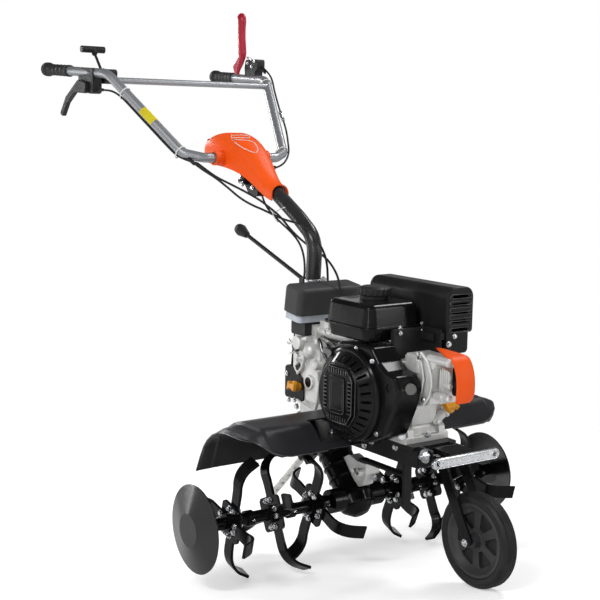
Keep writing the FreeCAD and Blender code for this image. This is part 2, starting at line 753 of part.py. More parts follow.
grip_bodies = []
for side, grip_name in ((-1, "grip_right"), (1, "grip_left")):
    grip = new_body(grip_name)
    grip_side = [(13.6, 0), (17.5, 0), (17.5, 12, 3)]
    for ring in range(4):
        grip_side += [(15.6, 21 + 22 * ring, 5), (17.4, 32 + 22 * ring, 5)]
    grip_side += [(17, 118), (21, 126, 3), (21, 145, 5), (0, 145), (0, 140), (13.6, 140)]
    spin(grip, outline(grip_side))
    start = TOP_BEND + END_RUN * 214
    heading = Vector(END_RUN.x, side * END_RUN.y, END_RUN.z)
    grip.Placement = Placement(Vector(*mirrored(start, side)), Rotation(ALONG_Z, heading))
    grip_bodies.append(grip)
register(grouped("grips", grip_bodies), "grips")


def bar_core(name):
    """The handlebar's outer shape, to trim what is clamped to it."""
    core = doc.addObject("Part::Feature", name)
    core.Shape = bar_solid.copy()
    return core


red = new_body("stop_lever")
slab(red, outline([(-984, 1276, 8), (-962, 1284, 8), (-948, 1212), (-941, 1150, 6), (-952, 1104, 8),
                   (-985, 1085, 4), (-1002, 1086, 4), (-1018, 1116, 8), (-992, 1136, 10),
                   (-974, 1160, 30), (-978, 1212)]), 255, 270)
soften(red, 3, at_level("y", 255))
register(red, "stop_lever")

clutch = new_body("clutch_lever")
slab(clutch, outline([(-1094, 954, 7), (-1074, 946, 7), (-1040, 986, 20), (-990, 1016, 12),
                      (-918, 1012, 12), (-912, 1044, 10), (-970, 1052, 12), (-1050, 1006, 20)]),
     -303, -291)
soften(clutch, 3, at_level("y", -303))
register(clutch, "clutch_lever")

bracket_left = new_body("bracket_left")
slab(bracket_left, outline([(-952, 1050, 8), (-900, 1050, 8), (-900, 1094, 6), (-888, 1102, 4),
                            (-888, 1134, 8), (-952, 1134, 8), (-958, 1110)]), 270, 300)
bracket_right = new_body("bracket_right")
slab(bracket_right, outline([(-985, 1050, 6), (-962, 1020, 10), (-905, 1011, 10), (-890, 1014, 8),
                             (-890, 1084, 8), (-985, 1088, 8)]), -291, -262)
slab(bracket_right, outline([(-950, 1050), (-915, 1050), (-915, 1082), (-950, 1082)]), -291, -256)
brackets = grouped("bracket_pair", [bracket_left, bracket_right])
register(less("lever_brackets", brackets, bar_core("bracket_core")), "lever_brackets")

shift = new_body("shift_housing")
slab(shift, outline([(-1007, 1044, 12), (-880, 1040, 14), (-876, 1082, 10), (-1004, 1088, 10)]),
     -256, -216)
soften(shift, 5, at_level("y", -216))
SHIFT_LEAN = (-45, 0, 51)
shift_rod = cylinder("shift_rod", 4, 72, (-950, -236, 1086.3), SHIFT_LEAN)
shift_collar = cylinder("shift_collar", 8, 16, (-988, -236, 1129.4), SHIFT_LEAN)
shift_bar = cylinder("shift_bar", 10, 74, (-1000, -274, 1143), (0, 1, 0))
register(joined("shift_control", [shift, shift_rod, shift_collar, shift_bar]), "shift_control")

# ---------------------------------------------------------------------------------------------
# Cables, held all the way: each is split where it passes the handlebar's tilt axis
# ---------------------------------------------------------------------------------------------

CABLE_R = 3.0
UPPER_END = 126
LOWER_END = 118


def cable(points, factor=0.45):
    """Tube with arcs as large as the two runs beside each point allow."""
    radii = []
    places = [Vector(*p) for p in points]
    for i in range(1, len(places) - 1):
        before = places[i] - places[i - 1]
        after = places[i + 1] - places[i]
        turn = before.getAngle(after)
        radii.append(factor * min(before.Length, after.Length) / math.tan(turn / 2.0))
    return tube(points, radii, CABLE_R)


clutch_upper = cable([(-888, -276, 1022), (-852, -276, 1018), (-812, -262, 1006), (-764, -241, 964),
                      (-714, -221, 920), (-664, -200, 877), (-612, -178, 836), (-574, -156, 819),
                      (-555, -UPPER_END, 816)])
stop_upper = cable([(-885, 286, 1112), (-862, 290, 1092), (-830, 290, 1052), (-792, 280, 1008),
                    (-752, 262, 966), (-712, 242, 928), (-668, 222, 892), (-618, 196, 850),
                    (-576, 164, 820), (-555, UPPER_END, 816)])
swept("cables_upper", [clutch_upper, stop_upper])

clutch_lower = cable([(-555, -LOWER_END, 816), (-544, -98, 800), (-508, -80, 772), (-462, -58, 738),
                      (-416, -38, 704), (-366, -30, 682), (-306, -28, 664), (-254, -28, 640),
                      (-226, -30, 604), (-218, -32, 539), (-220, -36, 484), (-220, -42, 434),
                      (-212, -50, 384), (-199, -58, 340), (-198, -60, 313.3)])
stop_lower = cable([(-555, LOWER_END, 816), (-546, 98, 810), (-508, 72, 776), (-464, 44, 736),
                    (-418, 20, 702), (-372, 4, 684), (-326, -18, 678), (-286, -33, 682),
                    (-236, -36, 686), (-190, -36, 672), (-158, -28, 644), (-138, -6, 604),
                    (-118, 14, 566), (-94, 26, 536), (-78, 26, 498), (-70, 2, 472), (-66, -34, 449)])
swept("cables_lower", [clutch_lower, stop_lower])

# ---------------------------------------------------------------------------------------------
# Front wheel arm, which folds up about the frame's ears
# ---------------------------------------------------------------------------------------------

WHEEL_AT = (452, 0, 21.5)
PIVOT = (330, 192)
PIVOT_R = 6.0
AXLE = (WHEEL_AT[0], WHEEL_AT[2])
AXLE_R = 5.0
fork = new_body("wheel_fork")
pad(fork, "XZ", outline([(318, 196, 12), (330, 210, 12), (400, 208, 4), (400, 184, 4), (376, 180, 10),
                         (466, 24, 8), (452, 8, 12), (438, 20, 10), (346, 170, 8)]),
    "fork_width", symmetric=True)
pocket(fork, "XZ", outline([(300, -20), (480, -20), (480, 186), (300, 186)]), "fork_gap",
       symmetric=True)
notch(fork, circle(PIVOT[0], PIVOT[1], PIVOT_R + 0.1), -60, 60)
notch(fork, circle(AXLE[0], AXLE[1], AXLE_R + 0.1), -60, 60)
register(fork, "wheel_fork")

front_bar = new_body("front_bar")
pad(front_bar, "YZ", rectangle(0, 196, 200, 24, 11.5), "front_bar_thick", symmetric=True)
pocket(front_bar, "YZ", circle(-86, 196, 5.5) + circle(86, 196, 5.5), 20, symmetric=True)
pad(front_bar, "YZ", rectangle(0, 196, 140, 3, 1.2), 1.2, offset=3)
register(front_bar, "front_bar", at=(403.1, 0, 0))

pivot_pieces = [cylinder("pivot_pin", PIVOT_R, 118, (PIVOT[0], -59, PIVOT[1]), (0, 1, 0))]
axle_pieces = [cylinder("axle_bolt", AXLE_R, 92, (AXLE[0], -46, AXLE[1]), (0, 1, 0))]
for side in (-1, 1):
    pivot_nut = new_body("pivot_nut")
    near, far = sorted((side * 49.6, side * 57))
    slab(pivot_nut, hexagon(PIVOT[0], PIVOT[1], 11), near, far)
    pivot_pieces.append(pivot_nut)
    axle_nut = new_body("axle_nut")
    near, far = sorted((side * 35.1, side * 42))
    slab(axle_nut, hexagon(AXLE[0], AXLE[1], 9.5), near, far)
    axle_pieces.append(axle_nut)
pivot = joined("pivot_set", pivot_pieces)
axle = joined("axle_set", axle_pieces)
register(grouped("arm_pins", [pivot, axle]), "arm_pins")

tyre = new_body("tyre")
TREAD = SIZES["tyre_radius"]
tyre_side = [(SIZES["rim_radius"] + 4.3, -17, 3), (99, -20, 7), (TREAD - 1.5, -14, 3)]
for groove in (-9, -3, 3, 9):
    tyre_side += [(TREAD, groove - 2), (TREAD - 1.8, groove - 0.8)]
    tyre_side += [(TREAD - 1.8, groove + 0.8), (TREAD, groove + 2)]
tyre_side += [(TREAD - 1.5, 14, 3), (99, 20, 7), (SIZES["rim_radius"] + 4.3, 17, 3)]
spin(tyre, outline(tyre_side))
register(tyre, "tyre", at=WHEEL_AT, turn=turned(ALONG_X, 90))

rim = new_body("rim")
RIM_R = SIZES["rim_radius"] + 4
spin(rim, outline([(5.2, -24), (15, -24), (17, -6, 3), (64, -4, 3), (72, -10, 3), (77, -16),
                   (RIM_R, -16), (RIM_R, 16), (77, 16), (72, 10, 3), (64, 4, 3), (17, 6, 3),
                   (15, 24), (5.2, 24)]))
window = pocket(rim, "XY", outline([(27, -6, 3), (62, -23, 6), (62, 23, 6), (27, 6, 3)]), 80, symmetric=True)
around(rim, [window], 6)
register(rim, "rim", at=WHEEL_AT, turn=turned(ALONG_X, 90))

# ---------------------------------------------------------------------------------------------
# Rotor: shaft, six tined hubs and two dished discs
# ---------------------------------------------------------------------------------------------

SHAFT_RIGHT = -482
SHAFT_LEFT = 466
rod_length = SHAFT_LEFT - SHAFT_RIGHT
shaft_parts = [cylinder("shaft_rod", "shaft_radius", rod_length, (0, SHAFT_RIGHT, 0), (0, 1, 0))]
for side in (-1, 1):
    for collar_y in (90, 190, 310, 420):
        foot = (0, side * collar_y, 0)
        shaft_parts.append(cylinder("collar", 19.5, 18, foot, (0, side, 0)))
        pin_y = side * (collar_y + 9)
        shaft_parts.append(cylinder("collar_pin", 4, 56, (-28, pin_y, 0), (1, 0, 0)))
register(joined("rotor_shaft", shaft_parts), "rotor_shaft")

TINE_BAR = 7.0
TIP_REACH = 147.9
TIP_SIDE = 50.0
PLATE_FACE = 3.0
PLATE_HALF = 42.0


def tine_edge_view(hand):
    """Flat bar seen edge on: straight up the plate's face, then bent round to one side."""
    middle = [(PLATE_FACE, 22), (PLATE_FACE, 122, 56), (PLATE_FACE + TIP_SIDE, TIP_REACH)]
    ring = strip_points(middle, TINE_BAR)
    return [(hand * u, v, radius) for u, v, radius in ring]


# Waste cut from the bar's leading and trailing side, as (tangential, radial): it leaves a sickle
LEADING_WASTE = [(14, 18), (15, 80, 80), (-5, 176), (62, 176), (62, 18)]
TRAILING_WASTE = [(-14, 18), (-16, 80, 90), (-42, 176), (-62, 176), (-62, 18)]


def tined_hub(label, hub_y, phase, hand):
    """Square plate on a sleeve with four tines: one pair curves to one side, one pair to the other."""
    hub = new_body(label)
    pad(hub, "XZ", rectangle(0, 0, 2 * PLATE_HALF, 2 * PLATE_HALF, 12), "hub_plate_thick", symmetric=True)
    slab(hub, circle(0, 0, 21.5), -17, 17)
    notch(hub, circle(0, 0, SIZES["shaft_radius"] + 0.2), -30, 30)
    near, far = sorted((hand * PLATE_FACE, hand * 70))
    upright = pad(hub, "YZ", outline(tine_edge_view(hand)), 92, symmetric=True)
    lead = notch(hub, outline(LEADING_WASTE), near, far)
    trail = notch(hub, outline(TRAILING_WASTE), near, far)
    around(hub, [upright, lead, trail], 2, axis="Y")
    near, far = sorted((-hand * PLATE_FACE, -hand * 70))
    flat = pad(hub, "XY", outline([(v, u, r) for u, v, r in tine_edge_view(-hand)]), 92, symmetric=True)
    lead = notch(hub, outline([(p[1], -p[0]) + tuple(p[2:]) for p in LEADING_WASTE]), near, far)
    trail = notch(hub, outline([(p[1], -p[0]) + tuple(p[2:]) for p in TRAILING_WASTE]), near, far)
    around(hub, [flat, lead, trail], 2, axis="Y")
    register(hub, label, at=(0, hub_y, 0), turn=turned(ALONG_Y, phase))


for place, hub_y, phase in (("outer", 368, 14), ("mid", 250, -24), ("inner", 128, 112)):
    tined_hub("tines_right_" + place, -hub_y, phase, 1)
    tined_hub("tines_left_" + place, hub_y, phase, -1)

discs = []
for disc_y, disc_turn in ((SHAFT_RIGHT + 10, 90), (SHAFT_LEFT - 10, -90)):
    disc = new_body("disc")
    spin(disc, outline([(0, 10), (38, 10, 6), (104, -8), (105, -5), (39, 13, 6), (0, 13)]))
    disc.Placement = Placement(Vector(0, disc_y, 0), turned(ALONG_X, disc_turn))
    discs.append(disc)
register(grouped("discs", discs), "discs")

# ---------------------------------------------------------------------------------------------
# Checks and export
# ---------------------------------------------------------------------------------------------

doc.recompute()
problems = []
for obj in doc.Objects:
    if "Invalid" in obj.State or "Error" in obj.State:
        problems.append("%s: %s" % (obj.Label, obj.State))
for obj in nodes:
    if obj.Shape.isNull() or not obj.Shape.isValid():
        problems.append("%s: bad shape" % obj.Label)
if problems:
    raise RuntimeError("; ".join(problems))

os.makedirs("parts", exist_ok=True)
whole = FreeCAD.BoundBox()
for obj in nodes:
    obj.Shape.exportStep("parts/%s.step" % obj.Label)
    whole.add(obj.Shape.BoundBox)
    print("%-20s solids %d volume %.0f" % (obj.Label, len(obj.Shape.Solids), obj.Shape.Volume))
print(len(nodes), "nodes, whole", whole)
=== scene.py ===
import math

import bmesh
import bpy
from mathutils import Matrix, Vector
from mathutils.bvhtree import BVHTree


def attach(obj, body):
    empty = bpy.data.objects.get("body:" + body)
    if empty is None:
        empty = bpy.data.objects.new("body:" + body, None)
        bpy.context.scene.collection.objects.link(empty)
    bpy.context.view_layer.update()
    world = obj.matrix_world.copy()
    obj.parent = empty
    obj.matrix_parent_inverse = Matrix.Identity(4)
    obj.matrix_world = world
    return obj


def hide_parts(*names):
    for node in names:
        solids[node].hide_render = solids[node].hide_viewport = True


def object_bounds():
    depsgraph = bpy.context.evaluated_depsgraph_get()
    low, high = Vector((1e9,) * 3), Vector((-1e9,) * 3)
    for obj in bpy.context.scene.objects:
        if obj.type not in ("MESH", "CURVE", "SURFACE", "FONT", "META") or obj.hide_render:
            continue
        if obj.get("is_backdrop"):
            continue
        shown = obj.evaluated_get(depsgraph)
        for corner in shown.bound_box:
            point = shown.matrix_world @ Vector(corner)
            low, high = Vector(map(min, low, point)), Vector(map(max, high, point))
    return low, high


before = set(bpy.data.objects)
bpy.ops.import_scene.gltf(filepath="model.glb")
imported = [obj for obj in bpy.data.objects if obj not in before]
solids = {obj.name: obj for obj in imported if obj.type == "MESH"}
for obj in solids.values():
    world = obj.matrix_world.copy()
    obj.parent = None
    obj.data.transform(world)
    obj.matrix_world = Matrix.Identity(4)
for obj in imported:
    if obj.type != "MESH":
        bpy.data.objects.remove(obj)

# %% [markdown]
# # A petrol rotary tiller, from bare solids to a finished machine
#
# The solids of the machine are loaded above, each in its own place. This lesson gives every one
# of them a finish, and then adds the small things that a maker would bolt, clip or stick on:
# bolts, ribs, slots, springs and plates.
#
# The box round the solids is kept from the start, so that the last cell can print its size
# beside the size of the dressed machine.

CAD_LOW, CAD_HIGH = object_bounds()
print("solids:", len(solids), "size in metres:", [round(v, 3) for v in CAD_HIGH - CAD_LOW])

# %% [markdown]
# ## The machine's own directions
#
# The tiller is parked nose down, resting on its front wheel and its tines. Its drawings are
# square to the engine instead: the origin is on the tine shaft, X forward, Y to the left and Z
# up, in millimetres. Working in the drawing's directions keeps every bolt circle and every row of
# slots simple, so one matrix, `PARKED`, leans each finished piece over with the machine.

# %% The matrix that leans the drawing
MM = 0.001
LEAN_ANGLE = math.radians(8.05)
SHAFT_FORWARD = 0.2365
SHAFT_HEIGHT = 0.15
PARKED = (
    Matrix.Translation((SHAFT_FORWARD, 0, SHAFT_HEIGHT))
    @ Matrix.Rotation(LEAN_ANGLE, 4, "Y")
    @ Matrix.Scale(MM, 4)
)
print("tine shaft at", tuple(PARKED @ Vector((0, 0, 0))))

# %% [markdown]
# ## Floor, camera and light
#
# The floor is a plain sheet that keeps the machine's shadow. A studio backdrop is bright white to
# the eye but shouldn't pour light on the object, so both the floor and the world ask Light Path
# what kind of ray is looking: camera and mirror rays see the white backdrop, and the soft light
# that falls on the machine stays at a plain level.
#
# The camera stands low at the machine's right front corner and looks almost level, tipped a
# little to one side. A long lens keeps the upright parts upright, as in a catalogue picture.

# %% Camera
SENSOR_WIDTH = 36.0
FOCAL_LENGTH = 72.15
CAMERA_PLACE = (2.66562, -1.82808, 0.7435)
CAMERA_ANGLES = (88.3728, 3.6515, 54.9063)


def shown(name, data):
    """A new object in the scene that shows some data."""
    thing = bpy.data.objects.new(name, data)
    bpy.context.scene.collection.objects.link(thing)
    return thing


camera_lens = bpy.data.cameras.new("studio_camera")
camera_lens.sensor_width = SENSOR_WIDTH
camera_lens.lens = FOCAL_LENGTH
camera = shown("studio_camera", camera_lens)
camera.location = CAMERA_PLACE
camera.rotation_euler = [math.radians(angle) for angle in CAMERA_ANGLES]
bpy.context.scene.camera = camera
bpy.context.scene.view_settings.view_transform = "Standard"
print("camera at", CAMERA_PLACE)

# %% [markdown]
# ## A small language for finishes
#
# A material is a chain of nodes, and written link by link it is hard to read. Three small classes
# make it read like arithmetic. `Reading` wraps the output of one node: adding, subtracting or
# multiplying readings adds the Math nodes. `Chain` is any node tree while it is being made, and
# its `add` puts in any node, with its settings first and its sockets after. `Finish` is a chain
# that ends in a Principled shader, with the few steps that every finish of this machine needs:
# where we are, cloudy noise, cells of grey, softened edges and fine bumps.

# %% A reading from a node
class Reading:
    """A number, colour or direction that a node gives out, for use in sums."""

    def __init__(self, chain, socket):
        self.chain = chain
        self.socket = socket

    def sum_of(self, operation, first, second):
        return self.chain.add("ShaderNodeMath", {"operation": operation}, {0: first, 1: second})

    def __add__(self, other):
        return self.sum_of("ADD", self, other)

    def __sub__(self, other):
        return self.sum_of("SUBTRACT", self, other)

    def __rsub__(self, other):
        return self.sum_of("SUBTRACT", other, self)

    def __mul__(self, other):
        return self.sum_of("MULTIPLY", self, other)

    __radd__ = __add__
    __rmul__ = __mul__


print("readings add, subtract and multiply")


# %% A node tree while it is being made
class Chain:
    """Nodes and the links between them."""

    def __init__(self, tree):
        self.tree = tree

    def join(self, socket, value):
        """Feed a socket from a reading, or set it to a constant."""
        if isinstance(value, Reading):
            self.tree.links.new(value.socket, socket)
        else:
            socket.default_value = value

    def add(self, kind, settings=None, sockets=None, out=0):
        """Add a node: its settings first, then its sockets, and give back one of its outputs."""
        node = self.tree.nodes.new(kind)
        for name, value in (settings or {}).items():
            setattr(node, name, value)
        for key, value in (sockets or {}).items():
            self.join(node.inputs[key], value)
        return Reading(self, node.outputs[out])

    def step(self, value, low, high, to_low=0.0, to_high=1.0):
        """A smooth step: to_low below low, to_high above high."""
        return self.add(
            "ShaderNodeMapRange",
            {"interpolation_type": "SMOOTHSTEP", "clamp": True},
            {0: value, 1: low, 2: high, 3: to_low, 4: to_high},
        )

    def blend(self, first, second, share):
        """A colour between two colours."""
        return self.add(
            "ShaderNodeMix", {"data_type": "RGBA"}, {0: share, 6: first, 7: second}, out=2
        )


print("a chain is ready to be filled")


# %% A finish while it is being made
SHARP_MATCH, FLAT_MATCH = 0.80, 0.995


class Finish(Chain):
    """One material: a chain of nodes that ends in the Principled shader."""

    def __init__(self, name, **constants):
        self.material = bpy.data.materials.new(name)
        self.material.use_nodes = True
        super().__init__(self.material.node_tree)
        self.shader = self.tree.nodes["Principled BSDF"]
        self.put(**constants)

    def put(self, **sockets):
        """Set sockets of the shader; an underscore in a name stands for a space."""
        for name, value in sockets.items():
            self.join(self.shader.inputs[name.replace("_", " ")], value)

    def here(self):
        """The place on the machine, in metres."""
        return self.add("ShaderNodeTexCoord", out="Object")

    def cloud(self, per_metre, detail=3.0, rough=0.55):
        """Soft noise, with so many clouds to the metre."""
        return self.add(
            "ShaderNodeTexNoise",
            {"noise_dimensions": "3D"},
            {"Vector": self.here(), "Scale": per_metre, "Detail": detail, "Roughness": rough},
        )

    def cell_greys(self, per_metre):
        """Cells with one random grey each."""
        cells = self.add(
            "ShaderNodeTexVoronoi",
            {"feature": "F1"},
            {"Vector": self.here(), "Scale": per_metre},
            out="Color",
        )
        return self.add("ShaderNodeRGBToBW", {}, {"Color": cells})

    def bumps(self, height, deep, strength=1.0, over=None):
        """A surface direction with fine bumps; deep is in metres."""
        sockets = {"Height": height, "Strength": strength, "Distance": deep}
        if over is not None:
            sockets["Normal"] = over
        return self.add("ShaderNodeBump", {}, sockets)

    def soft_edge(self, radius):
        """A surface direction that rounds every sharp edge by a radius in metres."""
        return self.add("ShaderNodeBevel", {"samples": 6}, {"Radius": radius})

    def edge_mask(self, radius):
        """1 close to sharp outer or inner edges and 0 on flat ground."""
        rounded = self.soft_edge(radius)
        plain = self.add("ShaderNodeNewGeometry", out="Normal")
        dot = {"operation": "DOT_PRODUCT"}
        match = self.add("ShaderNodeVectorMath", dot, {0: rounded, 1: plain}, out="Value")
        return self.step(match, SHARP_MATCH, FLAT_MATCH, 1.0, 0.0)


print("a finish is ready to be made")

# %% [markdown]
# ## The studio
#
# Six long lamps do what the strip boxes of a studio do. The key stands high behind the camera's
# left shoulder, the fill stands upright on the right and opens the shadows, two hang over and
# behind the machine, where they draw thin bright lines along the upper edges of the gloss paint,
# and two narrow strips stand at its sides, for the upright edges. Their sum lights a pale surface
# to just under white.
#
# The backdrop is a white sweep with a dim ceiling over it, as in a real studio: black paint shows
# white only where it mirrors the sweep or a lamp, and stays black elsewhere. The floor keeps the
# shadow near the machine and melts into the white sweep farther out.

# %% Floor
SHADOW_ROOM = 1.25
SWEEP_FROM = 2.1
FLOOR_REACH = 14.0
FLOOR_DROP = 0.0006
FLOOR_LIFT = 0.36


def studio_floor():
    """A wide pale sheet on the ground that keeps the shadow of the machine."""
    finish = Finish("studio_floor", Base_Color=(0.84, 0.84, 0.84, 1))
    finish.put(Roughness=0.86 + finish.cloud(14.0) * 0.08)
    lit = Reading(finish, finish.shader.outputs["BSDF"])
    lift = finish.add("ShaderNodeEmission", {}, {"Color": (1, 1, 1, 1), "Strength": FLOOR_LIFT})
    near = finish.add("ShaderNodeAddShader", {}, {0: lit, 1: lift})
    white = finish.add("ShaderNodeEmission", {}, {"Color": (1, 1, 1, 1), "Strength": 1.0})
    reach = finish.add(
        "ShaderNodeVectorMath", {"operation": "LENGTH"}, {0: finish.here()}, out="Value"
    )
    sweep = finish.add(
        "ShaderNodeMixShader",
        {},
        {0: finish.step(reach, SHADOW_ROOM, SWEEP_FROM), 1: near, 2: white},
    )
    by_eye = finish.add("ShaderNodeLightPath", out="Is Camera Ray")
    seen = finish.add("ShaderNodeMixShader", {}, {0: by_eye, 1: lit, 2: sweep})
    finish.join(finish.tree.nodes["Material Output"].inputs["Surface"], seen)
    return finish.material


floor_mesh = bpy.data.meshes.new("studio_floor")
corners = [(FLOOR_REACH * x, FLOOR_REACH * y, 0) for x, y in ((-1, -1), (1, -1), (1, 1), (-1, 1))]
floor_mesh.from_pydata(corners, [], [(0, 1, 2, 3)])
floor = shown("studio_floor", floor_mesh)
floor.location.z = -FLOOR_DROP
floor_mesh.materials.append(studio_floor())
floor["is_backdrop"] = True
print("floor:", 2 * FLOOR_REACH, "m square")

# %% World
DAYLIGHT = 0.46
CEILING = (0.06, 0.06, 0.065, 1)
world = bpy.data.worlds.new("studio_world")
bpy.context.scene.world = world
world.use_nodes = True
world.node_tree.nodes.clear()
sky = Chain(world.node_tree)
by_eye, by_mirror, through_glass = [
    sky.add("ShaderNodeLightPath", out=f"Is {ray} Ray")
    for ray in ("Camera", "Glossy", "Transmission")
]
sight = sky.step(by_eye + by_mirror + through_glass, 0, 1)
toward_sky = sky.add("ShaderNodeTexCoord", out="Generated")
height = sky.add("ShaderNodeSeparateXYZ", {}, {0: toward_sky}, out="Z")
ceiling = sky.step(height, 0.06, 0.42)
backdrop = sky.add(
    "ShaderNodeBackground",
    {},
    {
        "Color": sky.blend((1, 1, 1, 1), CEILING, ceiling * by_mirror),
        "Strength": DAYLIGHT + sight * (1 - DAYLIGHT),
    },
)
seen = sky.tree.nodes.new("ShaderNodeOutputWorld")
sky.join(seen.inputs["Surface"], backdrop)
print("world: white to the eye,", DAYLIGHT, "as light")


# %% Lamps
def soft_box(name, place, aim, width, height, power):
    """A rectangular studio lamp that looks at a point."""
    lamp = bpy.data.lights.new(name, "AREA")
    lamp.shape = "RECTANGLE"
    lamp.size = width
    lamp.size_y = height
    lamp.energy = power
    holder = shown(name, lamp)
    holder.location = place
    holder.rotation_mode = "QUATERNION"
    toward = Vector(aim) - Vector(place)
    holder.rotation_quaternion = toward.to_track_quat("-Z", "Y")
    print("lamp", name, power, "W")


for lamp_row in (
    ("key_lamp", (1.7, -3.1, 2.9), (0, 0, 0.5), 1.7, 0.5, 70),
    ("top_lamp", (0.5, 1.9, 3.2), (0, 0, 0.5), 1.7, 0.6, 48),
    ("rear_lamp", (-3.2, -0.3, 2.2), (0, 0, 0.6), 1.8, 0.3, 30),
    ("fill_lamp", (3.5, 2.2, 1.3), (0.2, 0, 0.5), 0.4, 2.0, 20),
    ("left_strip", (-3.0, -2.3, 1.0), (0, 0, 0.5), 0.28, 1.5, 15),
    ("near_strip", (2.1, -3.0, 0.9), (0, 0, 0.5), 0.22, 1.4, 11),
):
    soft_box(*lamp_row)

# %% [markdown]
# ## Black paint and black plastic
#
# Most of the machine is black, and on a black object the finish is told by its shine alone. Wet
# looking stove enamel covers the fuel tank, the gear case, the fork and the tines: it flows a
# little before it sets, which leaves the faint orange-peel waves added here as bumps. The engine
# covers are moulded plastic with a duller, more even gloss. Frames and the silencer are sprayed
# satin. One maker with a few numbers gives all of them, so they stay one family.

# %% Enamel, satin and moulded black
def black_finish(name, tone, shine, wave, wave_deep, dust=0.04, glare=0.14, edge=0.0018):
    """Black finish: a tone, a roughness, and waves in the surface of a size and depth."""
    finish = Finish(name, Specular_IOR_Level=glare)
    broad = finish.cloud(9.0, detail=2.0)
    fine = finish.cloud(420.0, detail=2.0)
    film = finish.step(broad + fine * 0.25, 0.45, 0.85)
    dark = (tone, tone, tone * 1.08, 1)
    dusty = (tone + 0.004, tone + 0.004, tone + 0.005, 1)
    finish.put(
        Base_Color=finish.blend(dark, dusty, film),
        Roughness=shine + film * dust,
        Normal=finish.bumps(
            finish.cloud(wave, detail=1.0), wave_deep, 0.35, over=finish.soft_edge(edge)
        ),
    )
    return finish.material


black_enamel = black_finish("black_enamel", 0.004, 0.10, 260.0, 0.0004)
black_moulding = black_finish("black_moulding", 0.005, 0.15, 520.0, 0.0002)
black_satin_paint = black_finish("black_satin_paint", 0.010, 0.30, 380.0, 0.0003, dust=0.08)
column_paint = black_finish("column_paint", 0.022, 0.26, 320.0, 0.0001, glare=0.4)
ridge_gloss = black_finish("ridge_gloss", 0.010, 0.20, 520.0, 0.0001, glare=0.9, edge=0.0008)
print("blacks:", black_enamel.name, black_moulding.name, black_satin_paint.name)

# %% [markdown]
# ## Grained plastic
#
# The air filter lid, the lever housings and the grips aren't glossy: their moulds were etched, so
# the plastic carries a leathery grain of fine pits. A Voronoi texture gives cells with sharp
# valleys, much like etching, and noise breaks up its evenness.

# %% Etched plastic
def etched_plastic(name, tone, shine, cells, deep, tint=(1.0, 1.0, 1.04)):
    """Dull plastic with the grain of an etched mould."""
    finish = Finish(name)
    pits = finish.add(
        "ShaderNodeTexVoronoi", {"feature": "F1"}, {"Vector": finish.here(), "Scale": cells}
    )
    soft = finish.cloud(cells * 0.45, detail=2.0)
    worn = finish.step(finish.cloud(11.0, detail=3.0), 0.40, 0.72)
    base = tuple(tone * t for t in tint) + (1,)
    pale = tuple(tone * t * 1.35 for t in tint) + (1,)
    finish.put(
        Base_Color=finish.blend(base, pale, worn),
        Roughness=shine + worn * 0.06 + pits * 0.05,
        Normal=finish.bumps(pits * 0.6 + soft * 0.4, deep, 0.5, over=finish.soft_edge(0.0015)),
        Specular_IOR_Level=0.25,
    )
    return finish.material


filter_plastic = etched_plastic("filter_plastic", 0.040, 0.50, 900.0, 0.0005)
lever_plastic = etched_plastic("lever_plastic", 0.014, 0.42, 1100.0, 0.0003)
grip_rubber = etched_plastic("grip_rubber", 0.020, 0.60, 700.0, 0.0006)
band_plastic = etched_plastic("band_plastic", 0.46, 0.40, 900.0, 0.0002, (0.93, 1.0, 1.10))
rim_plastic = etched_plastic("rim_plastic", 0.034, 0.40, 800.0, 0.0003)
cable_jacket = etched_plastic("cable_jacket", 0.012, 0.45, 1500.0, 0.0002)
print("etched plastics: 6")

# %% [markdown]
# ## Bright orange
#
# The cowl over the controls and the cooling shield in front of the cylinder are the two orange
# parts. They are moulded through in colour, so they are even, a little soft in their shine, and
# show the flow of the plastic as faint clouds. The same recipe with other numbers gives the red
# lever and the yellow oil plugs.

# %% Coloured plastic
def coloured_plastic(name, shade, shine, deep_tone=0.82, glare=0.35):
    """Plastic moulded in its colour."""
    finish = Finish(name, Specular_IOR_Level=glare)
    flow = finish.step(finish.cloud(16.0, detail=3.0), 0.30, 0.75)
    base = tuple(c * deep_tone for c in shade) + (1,)
    full = tuple(shade) + (1,)
    grain = finish.cloud(650.0, detail=1.0)
    finish.put(
        Base_Color=finish.blend(base, full, flow),
        Roughness=shine + grain * 0.06,
        Normal=finish.bumps(grain, 0.0002, 0.15, over=finish.soft_edge(0.0015)),
    )
    return finish.material


orange_plastic = coloured_plastic("orange_plastic", (0.88, 0.095, 0.006), 0.40, 0.93, glare=0.16)
red_plastic = coloured_plastic("red_plastic", (0.40, 0.008, 0.030), 0.20)
yellow_plastic = coloured_plastic("yellow_plastic", (0.80, 0.33, 0.012), 0.30)
print("coloured plastics: 3")

# %% [markdown]
# ## Cast aluminium
#
# The crankcase, the cylinder head and the gearbox lid are pressure die castings: pale grey metal
# with a fine sandy skin, slightly darker where the mould was hot, and brighter where edges have
# been trimmed. The skin is noise at two sizes; the trimmed edges come from comparing the surface
# with a rounded copy of itself.

